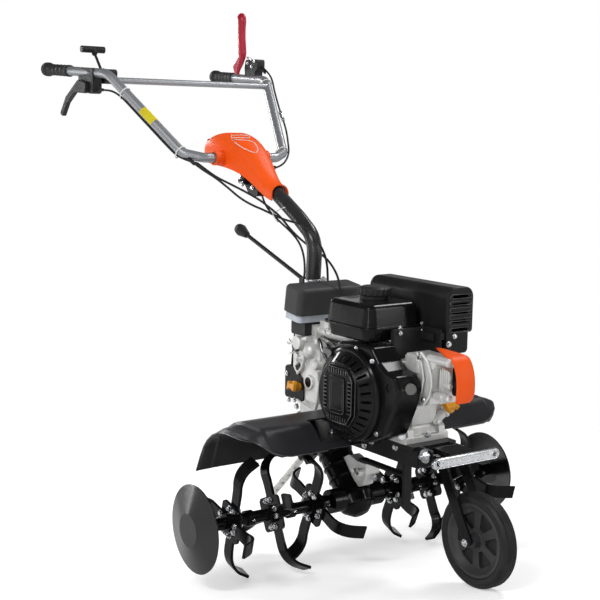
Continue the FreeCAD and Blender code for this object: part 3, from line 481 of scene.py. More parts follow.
# %% Metals
def cast_metal(name, tone, shine, sand, deep):
    """Die-cast metal with a sandy skin, bright at its trimmed edges."""
    finish = Finish(name, Metallic=0.45)
    cloud = finish.step(finish.cloud(22.0, detail=5.0, rough=0.62), 0.30, 0.72)
    skin = finish.cloud(sand, detail=3.0, rough=0.6)
    edge = finish.edge_mask(0.0014)
    shaded = finish.blend(
        (tone * 0.80, tone * 0.80, tone * 0.78, 1), (tone, tone, tone * 0.985, 1), cloud
    )
    finish.put(
        Base_Color=finish.blend(shaded, (tone * 1.16, tone * 1.16, tone * 1.15, 1), edge),
        Roughness=shine + skin * 0.16 - edge * 0.12,
        Normal=finish.bumps(skin, deep, 0.55, over=finish.soft_edge(0.0014)),
    )
    return finish.material


cast_aluminium = cast_metal("cast_aluminium", 0.74, 0.36, 700.0, 0.0006)
print("metal:", cast_aluminium.name)


# %% Plated and painted steel
def plated_steel(name, tone, shine, spangle, contrast, tint=(1.0, 1.0, 1.0)):
    """Zinc on steel: crystals of slightly different greys under a thin bright film."""
    finish = Finish(name, Metallic=1.0)
    grey = finish.cell_greys(spangle)
    mark = finish.cloud(60.0, detail=4.0)
    share = grey * 0.7 + mark * 0.5
    dark = tuple(tone * (1 - contrast) * t for t in tint) + (1,)
    light = tuple(min(1.0, tone * (1 + contrast * 0.4)) * t for t in tint) + (1,)
    finish.put(
        Base_Color=finish.blend(dark, light, finish.step(share, 0.25, 0.95)),
        Roughness=shine + mark * 0.12,
        Normal=finish.bumps(mark, 0.0002, 0.25, over=finish.soft_edge(0.0007)),
    )
    return finish.material


zinc_steel = plated_steel("zinc_steel", 0.66, 0.20, 240.0, 0.18, (0.98, 0.99, 1.02))
galvanised = plated_steel("galvanised", 0.60, 0.34, 130.0, 0.30, (1.0, 1.0, 0.97))
print("plated:", zinc_steel.name, galvanised.name)


# %% [markdown]
# ## Silver bars
#
# The handlebars are steel tube with a silver powder coat. The silver is in the paint: tiny flakes
# that each catch the light a little differently. Very small Voronoi cells, one grey each, make the
# flakes, and half the metal of bare steel keeps it paint.

# %% Silver powder coat
FLAKES_PER_METRE = 2600.0


def silver_coat():
    """Powder coat with metal flakes."""
    finish = Finish("silver_coat", Metallic=0.55, Specular_IOR_Level=0.4)
    glint = finish.cell_greys(FLAKES_PER_METRE)
    cloud = finish.cloud(18.0, detail=2.0)
    finish.put(
        Base_Color=finish.blend(
            (0.27, 0.28, 0.295, 1), (0.33, 0.34, 0.36, 1), glint * 0.75 + cloud * 0.25
        ),
        Roughness=0.36 + glint * 0.04,
        Normal=finish.bumps(finish.cloud(330.0, detail=1.0), 0.0001, 0.12),
    )
    return finish.material


silver_paint = silver_coat()
print("silver:", silver_paint.name)


# %% [markdown]
# ## Rubber, fenders and polished discs
#
# Tyre rubber is the dullest black here, with a faint bloom of grey on it. The mudguards are
# pressed sheet under dark grey paint that shows long soft reflections. The two guard discs were
# turned on a lathe before painting, so their gloss has rings: the distance from the shaft is fed
# into a wave that only touches roughness and the bumps.

# %% Tyre
def tyre_rubber_finish():
    """Dark rubber with a grey bloom and fine moulding grain."""
    finish = Finish("tyre_rubber")
    bloom = finish.step(finish.cloud(30.0, detail=5.0, rough=0.65), 0.35, 0.8)
    grain = finish.cloud(900.0, detail=2.0)
    finish.put(
        Base_Color=finish.blend((0.010, 0.010, 0.010, 1), (0.020, 0.020, 0.021, 1), bloom),
        Roughness=0.36 + bloom * 0.14,
        Normal=finish.bumps(grain, 0.0005, 0.5, over=finish.soft_edge(0.0008)),
        Specular_IOR_Level=0.22,
    )
    return finish.material


tyre_rubber = tyre_rubber_finish()
print("tyre:", tyre_rubber.name)


# %% Mudguards and discs
RINGS_SCALE = 240.0


def guard_paint_finish():
    """Dark grey gloss on pressed sheet."""
    finish = Finish("guard_paint", Specular_IOR_Level=0.25)
    cloud = finish.cloud(7.0, detail=2.0)
    peel = finish.cloud(300.0, detail=2.0)
    finish.put(
        Base_Color=finish.blend(
            (0.016, 0.016, 0.018, 1), (0.028, 0.028, 0.031, 1), finish.step(cloud, 0.3, 0.7)
        ),
        Roughness=0.30 + peel * 0.08,
        Normal=finish.bumps(peel, 0.0004, 0.3, over=finish.soft_edge(0.002)),
    )
    return finish.material


def turned_disc_finish():
    """Black gloss over a surface that was turned on a lathe."""
    finish = Finish("turned_disc", Specular_IOR_Level=0.38)
    shaft = (-SHAFT_FORWARD, 0, -SHAFT_HEIGHT)
    centre = finish.add(
        "ShaderNodeMapping",
        {"vector_type": "POINT"},
        {"Vector": finish.here(), "Location": shaft, "Scale": (1, 0, 1)},
    )
    ring = finish.add(
        "ShaderNodeTexWave",
        {"wave_type": "RINGS", "rings_direction": "SPHERICAL", "wave_profile": "SIN"},
        {"Vector": centre, "Scale": RINGS_SCALE, "Distortion": 0.2, "Detail": 2.0},
        out=1,
    )
    haze = finish.cloud(12.0, detail=3.0)
    finish.put(
        Base_Color=finish.blend((0.004, 0.004, 0.005, 1), (0.010, 0.010, 0.011, 1), haze),
        Roughness=0.12 + ring * 0.06 + haze * 0.05,
        Normal=finish.bumps(ring, 0.0001, 0.50, over=finish.soft_edge(0.0015)),
    )
    return finish.material


guard_paint = guard_paint_finish()
disc_black = turned_disc_finish()
print("guards and discs:", guard_paint.name, disc_black.name)

# %% [markdown]
# ## Dressing the solids
#
# Each solid keeps its mesh and takes a finish in its material slot. The table goes finish by
# finish, like the racks of a paint shop, so a part on the wrong rack is easy to find.

# %% Finish for every solid
TINES = [f"tines_{side}_{row}" for side in ("right", "left") for row in ("inner", "mid", "outer")]
DRESS = (
    (black_enamel, ["gear_case", "fuel_tank", "wheel_fork", "rotor_shaft", *TINES]),
    (black_moulding, ["bearing_caps", "fan_cover", "recoil_starter"]),
    (black_satin_paint, ["column_bracket", "engine_frame", "stake_holder", "clamp_bracket"]),
    (black_satin_paint, ["muffler", "drive_cover"]),
    (column_paint, ["column"]),
    (cast_aluminium, ["case_saddle", "gearbox_upper", "crankcase", "cylinder_head"]),
    (cast_aluminium, ["rocker_cover", "carburettor"]),
    (galvanised, ["drag_stake"]),
    (zinc_steel, ["front_bar", "arm_pins"]),
    (silver_paint, ["handlebar", "crossbar"]),
    (guard_paint, ["fenders"]),
    (disc_black, ["discs"]),
    (orange_plastic, ["head_cover", "cowl"]),
    (red_plastic, ["stop_lever"]),
    (yellow_plastic, ["filler_plugs"]),
    (filter_plastic, ["air_filter_cover"]),
    (band_plastic, ["air_filter_band"]),
    (lever_plastic, ["air_filter_base", "fuel_cap", "control_box", "gear_lever"]),
    (lever_plastic, ["clutch_lever", "lever_brackets", "shift_control"]),
    (cable_jacket, ["cables_lower", "cables_upper"]),
    (grip_rubber, ["grips"]),
    (tyre_rubber, ["tyre"]),
    (rim_plastic, ["rim"]),
)
finish_of = {name: finish for finish, names in DRESS for name in names}
for name, solid in solids.items():
    solid.data.materials.clear()
    solid.data.materials.append(finish_of[name])
print("dressed", len(finish_of), "solids with", len(set(finish_of.values())), "finishes")


# %% [markdown]
# ## Tools for small parts
#
# Bolts, wires, ribs and plates are all made from three moves. A lathe turns a profile round a
# line, which gives washers, caps, bosses and rings. A press pushes an outline through a depth,
# which gives hexagons, plates and tabs. A wire runs a round section along points. `Part` holds one
# mesh while these moves add to it, in the drawing's millimetres. `done` leans it with the machine,
# gives it a finish, softens its edges with a bevel so that they catch light, and hangs it on the
# body that it moves with.

# %% One small part while it is being shaped
BEVEL_ANGLE = 35.0
SMOOTH_ANGLE = 40.0
WASHER_SUNK, WASHER_TOP = 0.6, 1.2


def frame_of(toward):
    """Two directions square to a line and to each other, and the line itself."""
    line = Vector(toward).normalized()
    helper = Vector((0, 0, 1)) if abs(line.z) < 0.9 else Vector((1, 0, 0))
    across = helper.cross(line).normalized()
    return across, line.cross(across), line


def angles(count):
    """So many angles, evenly round a full turn."""
    return [2 * math.pi * k / count for k in range(count)]


def circle(radius, count):
    """Points of a circle about the origin."""
    return [(radius * math.cos(a), radius * math.sin(a)) for a in angles(count)]


class Part:
    """A mesh that grows move by move, in the drawing's millimetres."""

    def __init__(self, name):
        self.name = name
        self.mesh = bmesh.new()

    def ring(self, points):
        return [self.mesh.verts.new(p) for p in points]

    def skin(self, first, second):
        """Faces between two rings of as many points."""
        count = len(first)
        for i in range(count):
            j = (i + 1) % count
            self.mesh.faces.new((first[i], first[j], second[j], second[i]))

    def shell(self, rings, capped=True):
        """Faces between rings in a row, and over the two ends."""
        for first, second in zip(rings, rings[1:]):
            self.skin(first, second)
        if capped:
            self.mesh.faces.new(rings[0][::-1])
            self.mesh.faces.new(rings[-1])

    def turn(self, profile, at, toward, sides=20):
        """Lathe a profile of (radius, height) round the line through a point."""
        across, up, line = frame_of(toward)
        rings = []
        for radius, height in profile:
            centre = Vector(at) + line * height
            round_line = circle(radius, sides)
            rings.append(self.ring([centre + across * u + up * v for u, v in round_line]))
        looped = profile[0] == profile[-1]
        self.shell(rings, capped=not looped)
        if looped:
            bmesh.ops.remove_doubles(self.mesh, verts=rings[0] + rings[-1], dist=1e-5)

    def press(self, outline, at, across, up, depth):
        """Push an outline of (u, v) points through a depth, square to across and up."""
        across, up = Vector(across).normalized(), Vector(up).normalized()
        push = across.cross(up) * depth
        near = [Vector(at) + across * u + up * v for u, v in outline]
        self.shell([self.ring(near), self.ring([p + push for p in near])])

    def wire(self, points, radius, sides=8, closed=False):
        """Run a round section along points."""
        places = [Vector(p) for p in points]
        count = len(places)
        rings = []
        side = None
        for i, here in enumerate(places):
            before = places[i - 1] if closed or i > 0 else here
            after = places[(i + 1) % count] if closed or i < count - 1 else here
            line = (after - before).normalized()
            if side is None:
                side = frame_of(line)[0]
            side = (side - line * side.dot(line)).normalized()
            up = line.cross(side)
            rings.append(self.ring([here + side * u + up * v for u, v in circle(radius, sides)]))
        self.shell(rings, capped=not closed)
        if closed:
            self.skin(rings[-1], rings[0])

    def hexagon(self, at, toward, reach, high, angle=0.0):
        """Hexagonal prism that stands on a point."""
        across, up, line = frame_of(toward)
        turns = [math.radians(angle + 60 * k) for k in range(6)]
        outline = [(reach * math.cos(a), reach * math.sin(a)) for a in turns]
        self.press(outline, at, across, up, high)

    def bolt(self, at, toward, reach=6.0, high=4.5, washer=8.5, stub=0.0, angle=0.0):
        """Washer, hexagon head and, on a nut, the end of the thread."""
        line = Vector(toward).normalized()
        self.turn([(washer, -WASHER_SUNK), (washer, WASHER_TOP)], at, line, 18)
        self.hexagon(Vector(at) + line * WASHER_TOP, line, reach, high, angle)
        if stub > 0:
            end = reach * 0.5
            self.turn([(end, 0), (end, stub), (end * 0.7, stub + 1)], at, line, 12)

    def bolts(self, table, tall, twist):
        """Bolts from a table of (place, direction, reach), each turned a little differently."""
        for spot, toward, reach in table:
            self.bolt(spot, toward, reach, reach * tall, reach * 1.35, angle=twist * spot[0])

    def done(self, body, finish, bevel=0.0, smooth=SMOOTH_ANGLE):
        """Park the part, give it a finish and hang it on its body."""
        self.mesh.transform(PARKED)
        bmesh.ops.recalc_face_normals(self.mesh, faces=self.mesh.faces)
        data = bpy.data.meshes.new(self.name)
        self.mesh.to_mesh(data)
        self.mesh.free()
        data.polygons.foreach_set("use_smooth", [True] * len(data.polygons))
        data.set_sharp_from_angle(angle=math.radians(smooth))
        data.materials.append(finish)
        piece = shown(self.name, data)
        if bevel > 0:
            softening = piece.modifiers.new("soft_edges", "BEVEL")
            softening.width = bevel * MM
            softening.segments = 2
            softening.limit_method = "ANGLE"
            softening.angle_limit = math.radians(BEVEL_ANGLE)
            softening.harden_normals = True
        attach(piece, body)
        print(self.name, "rides on", body, "faces:", len(data.polygons))
        return piece


def rounded(width, height, radius, steps=5):
    """Rectangle about the origin with round corners."""
    points = []
    for k in range(4):
        turn = math.pi / 2 * k
        u = (width / 2 - radius) * (1 if k in (0, 3) else -1)
        v = (height / 2 - radius) * (1 if k in (0, 1) else -1)
        for s in range(steps + 1):
            angle = turn + math.pi / 2 * s / steps
            points.append((u + radius * math.cos(angle), v + radius * math.sin(angle)))
    return points


def box(u, v, half_wide, half_high):
    """Square-cornered rectangle about a point."""
    signs = ((-1, -1), (1, -1), (1, 1), (-1, 1))
    return [(u + half_wide * a, v + half_high * b) for a, b in signs]


RIGHT = (0, -1, 0)
LEFT = (0, 1, 0)
FORWARD = (1, 0, 0)
UP = (0, 0, 1)
print("small-part tools are ready")

# %% [markdown]
# ## Bolts on the rotor
#
# Each hub is a square plate with four curved tines. A tine is held by two bolts with plain zinc
# heads, and their nuts and thread ends show on the other face of the plate. They turn with the
# rotor. A hub's own turn on the shaft and the side of the plate that each tine lies on are the
# drawing's numbers.

# %% Hub bolts
HUBS = (
    (-368, 14, 1), (-250, -24, 1), (-128, 112, 1),
    (368, 14, -1), (250, -24, -1), (128, 112, -1),
)
TINE_FACE = 10.0
PLATE_FACE = 3.0
BOLT_OUT, BOLT_APART = 32, 17
hub_bolts = Part("tine_hub_bolts")
for hub_y, phase, hand in HUBS:
    spin = Matrix.Rotation(math.radians(phase), 4, "Y")
    for quarter in range(4):
        side = hand if quarter % 2 == 0 else -hand
        for across in (-BOLT_APART / 2, BOLT_APART / 2):
            local = Matrix.Rotation(math.radians(90 * quarter), 4, "Y")
            spot = spin @ local @ Vector((across, 0, BOLT_OUT))
            head = Vector((spot.x, hub_y + side * TINE_FACE, spot.z))
            nut = Vector((spot.x, hub_y - side * PLATE_FACE, spot.z))
            hub_bolts.bolt(head, (0, side, 0), 6.0, 4.2, 7.4, angle=17 * quarter)
            hub_bolts.bolt(nut, (0, -side, 0), 6.0, 4.6, 7.2, stub=8.5, angle=23 * quarter)
hub_bolts.done("rotor", zinc_steel, bevel=0.5)

# %% Clips through the shaft collars
COLLARS = (99, 199, 319, 429)
COLLAR_REACH = 25
collar_clips = Part("collar_clips")
for side in (-1, 1):
    for collar_y in COLLARS:
        for end in (-1, 1):
            loop = [(end * (COLLAR_REACH + u), side * collar_y + v, 3) for u, v in circle(5, 14)]
            collar_clips.wire(loop, 1.1, 6, closed=True)
collar_clips.done("rotor", zinc_steel)

# %% [markdown]
# ## Cables
#
# Two control cables run under the right arm of the handlebar and part below the cowl, and the
# stop cable comes down outside the left arm. A cable is one smooth line with a round section, so
# each is a NURBS curve: it bends evenly between its points, as sheathed wire does. The stretches
# above the tilting joint ride on the handlebar and the stretches below it on the machine. They
# meet close to the joint's own line, two of them inside short rubber sleeves, where tilting
# hardly moves them apart.

# %% A held cable
def cable(name, route, radius, body):
    """A NURBS line along a route in the drawing's millimetres, with a round section."""
    line = bpy.data.curves.new(name, "CURVE")
    line.dimensions = "3D"
    line.bevel_depth = radius * MM
    line.bevel_resolution = 3
    line.resolution_u = 8
    line.use_fill_caps = True
    spline = line.splines.new("NURBS")
    spline.points.add(len(route) - 1)
    for knot, place in zip(spline.points, route):
        spot = PARKED @ Vector(place)
        knot.co = (spot.x, spot.y, spot.z, 1)
    spline.order_u = 3
    spline.use_endpoint_u = True
    line.materials.append(cable_jacket)
    piece = shown(name, line)
    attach(piece, body)
    print(name, "points:", len(route))
    return piece


# %% Cables on the handlebar
MEET_RIGHT = (-556, -154, 827)
MEET_MIDDLE = (-556, -137, 823)
MEET_LEFT = (-560, 120, 808)
THICK, THIN = 3.0, 2.8
clutch_top = cable(
    "clutch_cable_top",
    [(-888, -276, 1022), (-850, -273, 1022), (-812, -264, 1018), (-780, -252, 1000),
     (-745, -236, 967), (-685, -212, 915), (-622, -187, 860), (-592, -172, 836), MEET_RIGHT],
    THICK, "handlebar_set",
)
cable(
    "shift_cable_top",
    [(-812, -240, 1018), (-782, -240, 996), (-745, -228, 965), (-685, -203, 913),
     (-622, -178, 858), (-590, -161, 832), MEET_MIDDLE],
    THICK, "handlebar_set",
)
cable(
    "stop_cable_top",
    [(-885, 286, 1112), (-862, 288, 1100), (-838, 289, 1082), (-820, 285, 1066), (-789, 271, 1037),
     (-751, 256, 1005), (-713, 242, 972), (-674, 230, 940), (-636, 215, 908), (-600, 196, 875),
     (-577, 183, 852), (-560, 162, 830), (-555, 140, 814), MEET_LEFT],
    THIN, "handlebar_set",
)
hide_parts("cables_upper")

# %% Cables on the machine
clutch_foot = cable(
    "clutch_cable_foot",
    [MEET_RIGHT, (-530, -140, 808), (-480, -124, 786), (-443, -108, 761), (-408, -92, 735),
     (-373, -76, 718), (-336, -62, 707), (-284, -46, 689), (-240, -38, 682), (-206, -34, 679),
     (-170, -31, 666), (-142, -26, 640), (-138, -8, 612), (-148, 10, 580), (-160, 22, 548),
     (-166, 28, 500), (-168, 32, 430)],
    THICK, "chassis",
)
cable(
    "shift_cable_foot",
    [MEET_MIDDLE, (-524, -128, 806), (-489, -118, 788), (-449, -98, 771), (-410, -72, 751),
     (-374, -50, 731), (-349, -34, 711), (-322, -20, 691), (-291, -2, 652), (-262, 18, 624),
     (-228, 28, 607), (-176, 28, 591), (-133, 20, 570), (-98, 10, 548), (-80, 4, 514),
     (-72, -6, 478), (-66, -34, 449)],
    THICK, "chassis",
)
cable(
    "stop_cable_foot",
    [MEET_LEFT, (-545, 96, 798), (-508, 66, 768), (-464, 30, 748), (-424, -10, 742),
     (-390, -32, 738), (-366, -36, 715), (-333, -38, 696), (-295, -38, 678), (-242, -38, 655),
     (-206, -36, 630), (-190, -34, 600), (-184, -34, 567), (-184, -36, 541), (-192, -44, 484),
     (-202, -50, 400), (-198, -60, 313)],
    THIN, "chassis",
)
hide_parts("cables_lower")

# %% [markdown]
# ## Sleeves, ties and the cable ring
#
# Cable ties hold the cables to the arms: a thin band round tube and cables, with a square lock on
# one side and a short tail. Below the cowl a bent ring gathers the three cables. The stop cable
# has a barrel adjuster in the middle of its run.

# %% Sleeves and the adjuster
sleeves = Part("cable_sleeves")
sleeves.turn([(4.2, -16), (5.4, -13), (5.4, 8), (4.2, 11)], MEET_RIGHT, (0.75, 0.3, -0.55), 14)
sleeves.turn([(3.4, -14), (4.6, -11), (4.6, 8), (3.4, 11)], MEET_LEFT, (0.72, -0.62, -0.28), 14)
sleeves.turn([(3.4, -12), (4.4, -10), (4.4, 12), (3.2, 15)], (-872, 285, 1101), (0.7, 0, -0.7), 14)
sleeves.turn([(3.6, -14), (4.6, -12), (4.6, 8), (3.4, 12)], (-866, -274, 1022), (1, 0.05, 0), 14)
sleeves.done("handlebar_set", cable_jacket)
adjuster = Part("cable_adjuster")
adjuster_line = (0.735, -0.25, -0.62)
adjuster.turn([(4.0, -2), (5.6, 0), (5.6, 26), (4.4, 29)], (-712, 242, 971), adjuster_line, 16)
adjuster.hexagon((-709, 241, 968.5), adjuster_line, 7.2, 5.0)
adjuster.turn([(3.2, 0), (3.2, 16)], (-690, 235, 953), adjuster_line, 12)
adjuster.hexagon((-684, 233, 948), adjuster_line, 6.6, 4.0)
adjuster.done("handlebar_set", zinc_steel, bevel=0.3)

# %% Ties
def white_nylon_finish():
    """Natural nylon of a cable tie, a little milky, with faint flow marks."""
    finish = Finish("white_nylon")
    flow = finish.step(finish.cloud(140.0, detail=3.0), 0.35, 0.7)
    finish.put(
        Base_Color=finish.blend((0.60, 0.60, 0.58, 1), (0.74, 0.74, 0.72, 1), flow),
        Roughness=0.42 + flow * 0.12,
        Normal=finish.bumps(finish.cloud(900.0), 0.0002, 0.3),
    )
    return finish.material


white_nylon = white_nylon_finish()
ARM_START = Vector((-835, -270, 1067.5))
ARM_LINE = Vector((250, 102, -217.5)).normalized()
LEFT_ARM_LINE = (250, -102, -217.5)
TIE_REACH = 15.5


def tie(part, at, line, tall, drop, side):
    """A band round a tube and the cable under it, with its lock and tail."""
    line = Vector(line).normalized()
    down = Vector((0, 0, -1)) - line * Vector((0, 0, -1)).dot(line)
    down.normalize()
    wide = line.cross(down)
    loop = []
    for angle in angles(22):
        reach = tall + (drop if math.cos(angle) > 0 else 0) * math.cos(angle) ** 2
        loop.append(Vector(at) + down * math.cos(angle) * reach + wide * math.sin(angle) * tall)
    for shift in (-1.2, 0, 1.2):
        part.wire([p + line * shift for p in loop], 0.9, 6, closed=True)
    lock = Vector(at) + wide * side * (tall + 1.5)
    part.press(rounded(6, 5, 1, 2), lock, line, down, 4 * side)
    part.press(rounded(2.4, 14, 0.8, 2), lock + down * 7, line, down, 1.2 * side)


white_ties = Part("white_ties")
tie(white_ties, ARM_START + ARM_LINE * 83, ARM_LINE, TIE_REACH, 8.5, 1)
tie(white_ties, ARM_START + ARM_LINE * 338, ARM_LINE, TIE_REACH, 9.5, 1)
tie(white_ties, (-824, 265.5, 1058), LEFT_ARM_LINE, TIE_REACH, 7.0, -1)
tie(white_ties, (-592, 171, 856), LEFT_ARM_LINE, TIE_REACH, 8.0, -1)
white_ties.done("handlebar_set", white_nylon)

# %% Cable ring
cable_ring = Part("cable_ring")
ring_middle = Vector((-308, -44, 690))
ring_long, ring_wide = Vector((0.62, 0.1, -0.78)) * 15, Vector((0.5, -0.85, 0.3)) * 12
loop = [ring_middle + ring_long * u + ring_wide * v for u, v in circle(1, 20)]
cable_ring.wire(loop, 1.6, 8, closed=True)
cable_ring.wire([(-312, -38, 704), (-304, -30, 712), (-298, -20, 716)], 1.3, 8)
cable_ring.done("chassis", white_nylon)

# %% [markdown]
# ## Starter cover
#
# The pull starter is the busiest face of the engine. Its moulding has an eight-sided raised plate
# with short cooling slots round it, a plain panel in the middle that would carry a name and stays
# blank here, and three ridges round the rim. Every ridge catches a thin bright line, and those lines
# are what the eye reads, so they are real raised ribs with softened edges. The cover is drawn in
# its own flat directions, u forward, v up and w out of the cover, which looks to the right.

# %% Ridges of the starter cover
STARTER = (160.0, -140.0, 314.0)


def on_starter(u, v, w):
    """A point of the starter's face: u forward, v up, w out of the cover."""
    return Vector((STARTER[0] + u, STARTER[1] - w, STARTER[2] + v))


def ridge(part, outline, w, radius, sides=6):
    """A closed raised line on the starter's face."""
    part.wire([on_starter(u, v, w) for u, v in outline], radius, sides, closed=True)


def grown(outline, centre, share):
    """An outline scaled about a point."""
    middle_u, middle_v = centre
    return [
        (middle_u + (u - middle_u) * share, middle_v + (v - middle_v) * share) for u, v in outline
    ]


OCTAGON = [(-47, -34), (-27, -60), (39, -60), (59, -34), (59, 42), (39, 68), (-27, 68), (-47, 42)]
PLATE_MIDDLE = (6, 4)
starter_ridges = Part("starter_ridges")
ridge(starter_ridges, grown(OCTAGON, PLATE_MIDDLE, 0.985), 46.2, 1.6)
ridge(starter_ridges, grown(OCTAGON, PLATE_MIDDLE, 1.06), 38.6, 1.4)
panel = [(u + 6, v + 4) for u, v in rounded(52, 84, 7)]
ridge(starter_ridges, panel, 48.3, 1.3)
ridge(starter_ridges, grown(panel, PLATE_MIDDLE, 0.80), 48.4, 0.9)
for radius, w in ((109.5, 3.0), (104.0, 7.0), (99.0, 12.0)):
    ridge(starter_ridges, circle(radius, 72), w, 1.3)
starter_ridges.done("chassis", ridge_gloss)

# %% Bars between the slots
SLOT_FLOOR = 45.5
starter_bars = Part("starter_bars")
upright = [box(-25.5 + 9 * k, v, 2, 6) for v in (-51, 59) for k in range(8)]
level = [box(u, -32.6 + 9.14 * k, 5.5, 2) for u in (-39, 51) for k in range(9)]
for outline in upright + level:
    starter_bars.press(outline, on_starter(0, 0, SLOT_FLOOR), FORWARD, UP, 3.0)
starter_bars.done("chassis", ridge_gloss, bevel=0.9)

# %% [markdown]
# ## The engine's right side
#
# Between the air filter and the starter cover the engine shows its castings: a domed bowl, round
# bosses, ribs where two halves meet, the intake's tube, and a black pressed arm of the speed
# control with its wires. They are small turned and bent parts, each set on the wall of the block
# that the solid already has.

# %% Castings and control arm
right_castings = Part("right_castings")
bowl = [(21, -22), (21, 0), (19.5, 8), (15, 14), (8, 18), (2, 19)]
right_castings.turn(bowl, (-97, -74, 368), (0, -1, 0.15), 26)
right_castings.turn([(13, -14), (13, 2), (11, 6), (5, 8)], (-70, -76, 335), (0, -1, 0.1), 22)
right_castings.turn([(9, -10), (9, 3), (7, 5)], (-34, -78, 372), RIGHT, 18)
for run, radius in (
    ([(-150, -76, 300), (-128, -78, 320), (-118, -78, 348), (-120, -78, 372)], 4.0),
    ([(-60, -78, 320), (-52, -79, 290), (-56, -79, 250), (-70, -78, 214)], 4.5),
    ([(-150, -76, 232), (-110, -77, 222), (-60, -77, 216)], 3.5),
):
    right_castings.wire(run, radius)
for spot in ((-150, -78, 330), (-146, -78, 388), (-60, -80, 398)):
    right_castings.turn([(7.5, -8), (7.5, 4), (6, 5.5)], spot, RIGHT, 16)
intake = [(-186, -80, 376), (-160, -84, 384), (-128, -86, 392), (-96, -86, 400)]
right_castings.wire(intake, 5.5, 12)
right_castings.wire([(-134, -88, 391), (-134, -97, 391)], 8.5, 14)
right_castings.done("chassis", cast_aluminium, bevel=1.0)

control_arm = Part("control_arm")
arm_run = [
    (-14, -110, 414), (-4, -112, 404), (2, -113, 392),
    (12, -113, 380), (26, -113, 368), (38, -112, 356),
]
control_arm.wire(arm_run, 5.0, 10)
control_arm.wire([(-22, -96, 418), (-6, -100, 420), (20, -104, 416), (60, -106, 404)], 3.4, 8)
control_arm.turn([(15, -6), (15, 0), (12, 4)], (-150, -84, 372), (-0.1, -1, 0), 20)
control_arm.press(rounded(62, 20, 5), (-4, -98, 398), (1, 0, -0.25), (0.25, 0, 1), 3)
control_arm.turn([(8, 0), (8, 10), (6, 12)], (88, -140, 404), (0, -1, 0.2), 18)
control_arm.press(rounded(34, 14, 6), (86, -150, 404), (1, 0, -0.1), (0.1, 0, 1), 9)
control_arm.done("chassis", ridge_gloss, bevel=0.8)

clip_wire = Part("clip_wire")
for run, radius in (
    ([(-6, -96, 428), (-8, -97, 436), (0, -98, 441), (10, -98, 441), (17, -97, 436),
      (16, -96, 428)], 1.6),
    ([(-164, -92, 352), (-150, -96, 356), (-128, -97, 360), (-112, -96, 352)], 1.4),
    ([(-172, -88, 388), (-150, -92, 378), (-132, -96, 366)], 1.4),
):
    clip_wire.wire(run, radius)
clip_wire.done("chassis", zinc_steel)

# %% Bolts of the block
block_bolts = Part("block_bolts")
block_bolts.bolts([
    ((-150, -76, 214), RIGHT, 6.5), ((-138, -76, 196), RIGHT, 6.5), ((-160, -76, 228), RIGHT, 5.0),
    ((311, -66, 418), RIGHT, 5.0), ((328, -66, 324), RIGHT, 5.0), ((262, 38, 248), FORWARD, 5.5),
    ((270, 1, 222), FORWARD, 6.0), ((262, -70, 226), (0.7, -0.7, 0), 6.5),
    ((262, -4, 295), FORWARD, 4.0), ((60, -118, 196.5), UP, 7.0), ((143, -62, 186), RIGHT, 6.5),
    ((218, -48, 469), FORWARD, 5.0), ((218, 20, 475), FORWARD, 5.0),
    ((232, -58, 461), FORWARD, 4.0), ((232, 9, 463), FORWARD, 4.0),
    ((236, -142, 404), RIGHT, 4.5), ((70, -142, 402), RIGHT, 4.5), ((64, -142, 262), RIGHT, 4.5),
    ((258, -142, 240), RIGHT, 4.5), ((176, -142, 424), RIGHT, 4.5),
], 0.75, 11)
block_bolts.done("chassis", zinc_steel, bevel=0.4)

# %% [markdown]
# ## Head, button and filler necks
#
# The front of the engine is the cylinder head: a bright casting with long round bosses for its
# studs and a rim where it meets the block. A plain grey push button sits in the corner of the fan
# cover. The two oil fillers have yellow wing plugs: a short cap with a flat wing, pinched in the
# middle so that fingers can turn it. The wings are a better shape than the plain solids, so the
# scene's own pieces stand in for those.

# %% Head castings
head_castings = Part("head_castings")
head_castings.turn([(9.5, 0), (9.5, 66), (7, 68)], (330, -54, 418), FORWARD, 20)
head_castings.turn([(8.5, 0), (8.5, 46), (6, 49)], (350, -50, 337), FORWARD, 20)
head_castings.turn([(7, 0), (7, 22), (5, 24)], (372, -46, 364), FORWARD, 18)
head_castings.turn([(11, -2), (11, 6)], (372, -50, 337), FORWARD, 20)
HEAD_SIDE = -66
outer_rim = [(314, 430), (338, 412), (351, 384), (353, 360), (346, 334), (328, 312)]
inner_rim = [(300, 428), (318, 404), (326, 372), (320, 340), (304, 316)]
head_castings.wire([(x, HEAD_SIDE, z) for x, z in outer_rim], 3.2, 10)
head_castings.wire([(x, HEAD_SIDE, z) for x, z in inner_rim], 2.4, 10)
for k in range(5):
    fin = rounded(4, 58 - 4 * k, 1.5, 2)
    head_castings.press(fin, (356 + 7 * k, -44, 376), FORWARD, UP, -26)
filler_neck = [(11, 0), (11, 36), (14, 37), (14, 43), (10, 44)]
head_castings.turn(filler_neck, (252, 30, 244), (0.20, 0.74, 0.55), 22)
head_castings.done("chassis", cast_aluminium, bevel=0.8)

# %% Push button
def grey_button_finish():
    """Light grey moulding with a very fine grain."""
    finish = Finish("grey_button", Specular_IOR_Level=0.3)
    grain = finish.cloud(700.0, detail=2.0)
    finish.put(
        Base_Color=finish.blend((0.10, 0.10, 0.10, 1), (0.15, 0.15, 0.145, 1), grain),
        Roughness=0.4 + grain * 0.1,
        Normal=finish.bumps(grain, 0.0002, 0.3),
    )
    return finish.material


push_button = Part("push_button")
push_button.turn([(13, -9), (13, 2), (11.5, 4), (4, 5)], (333, -109, 354), (0.80, -0.58, 0.16), 28)
push_button.done("chassis", grey_button_finish())

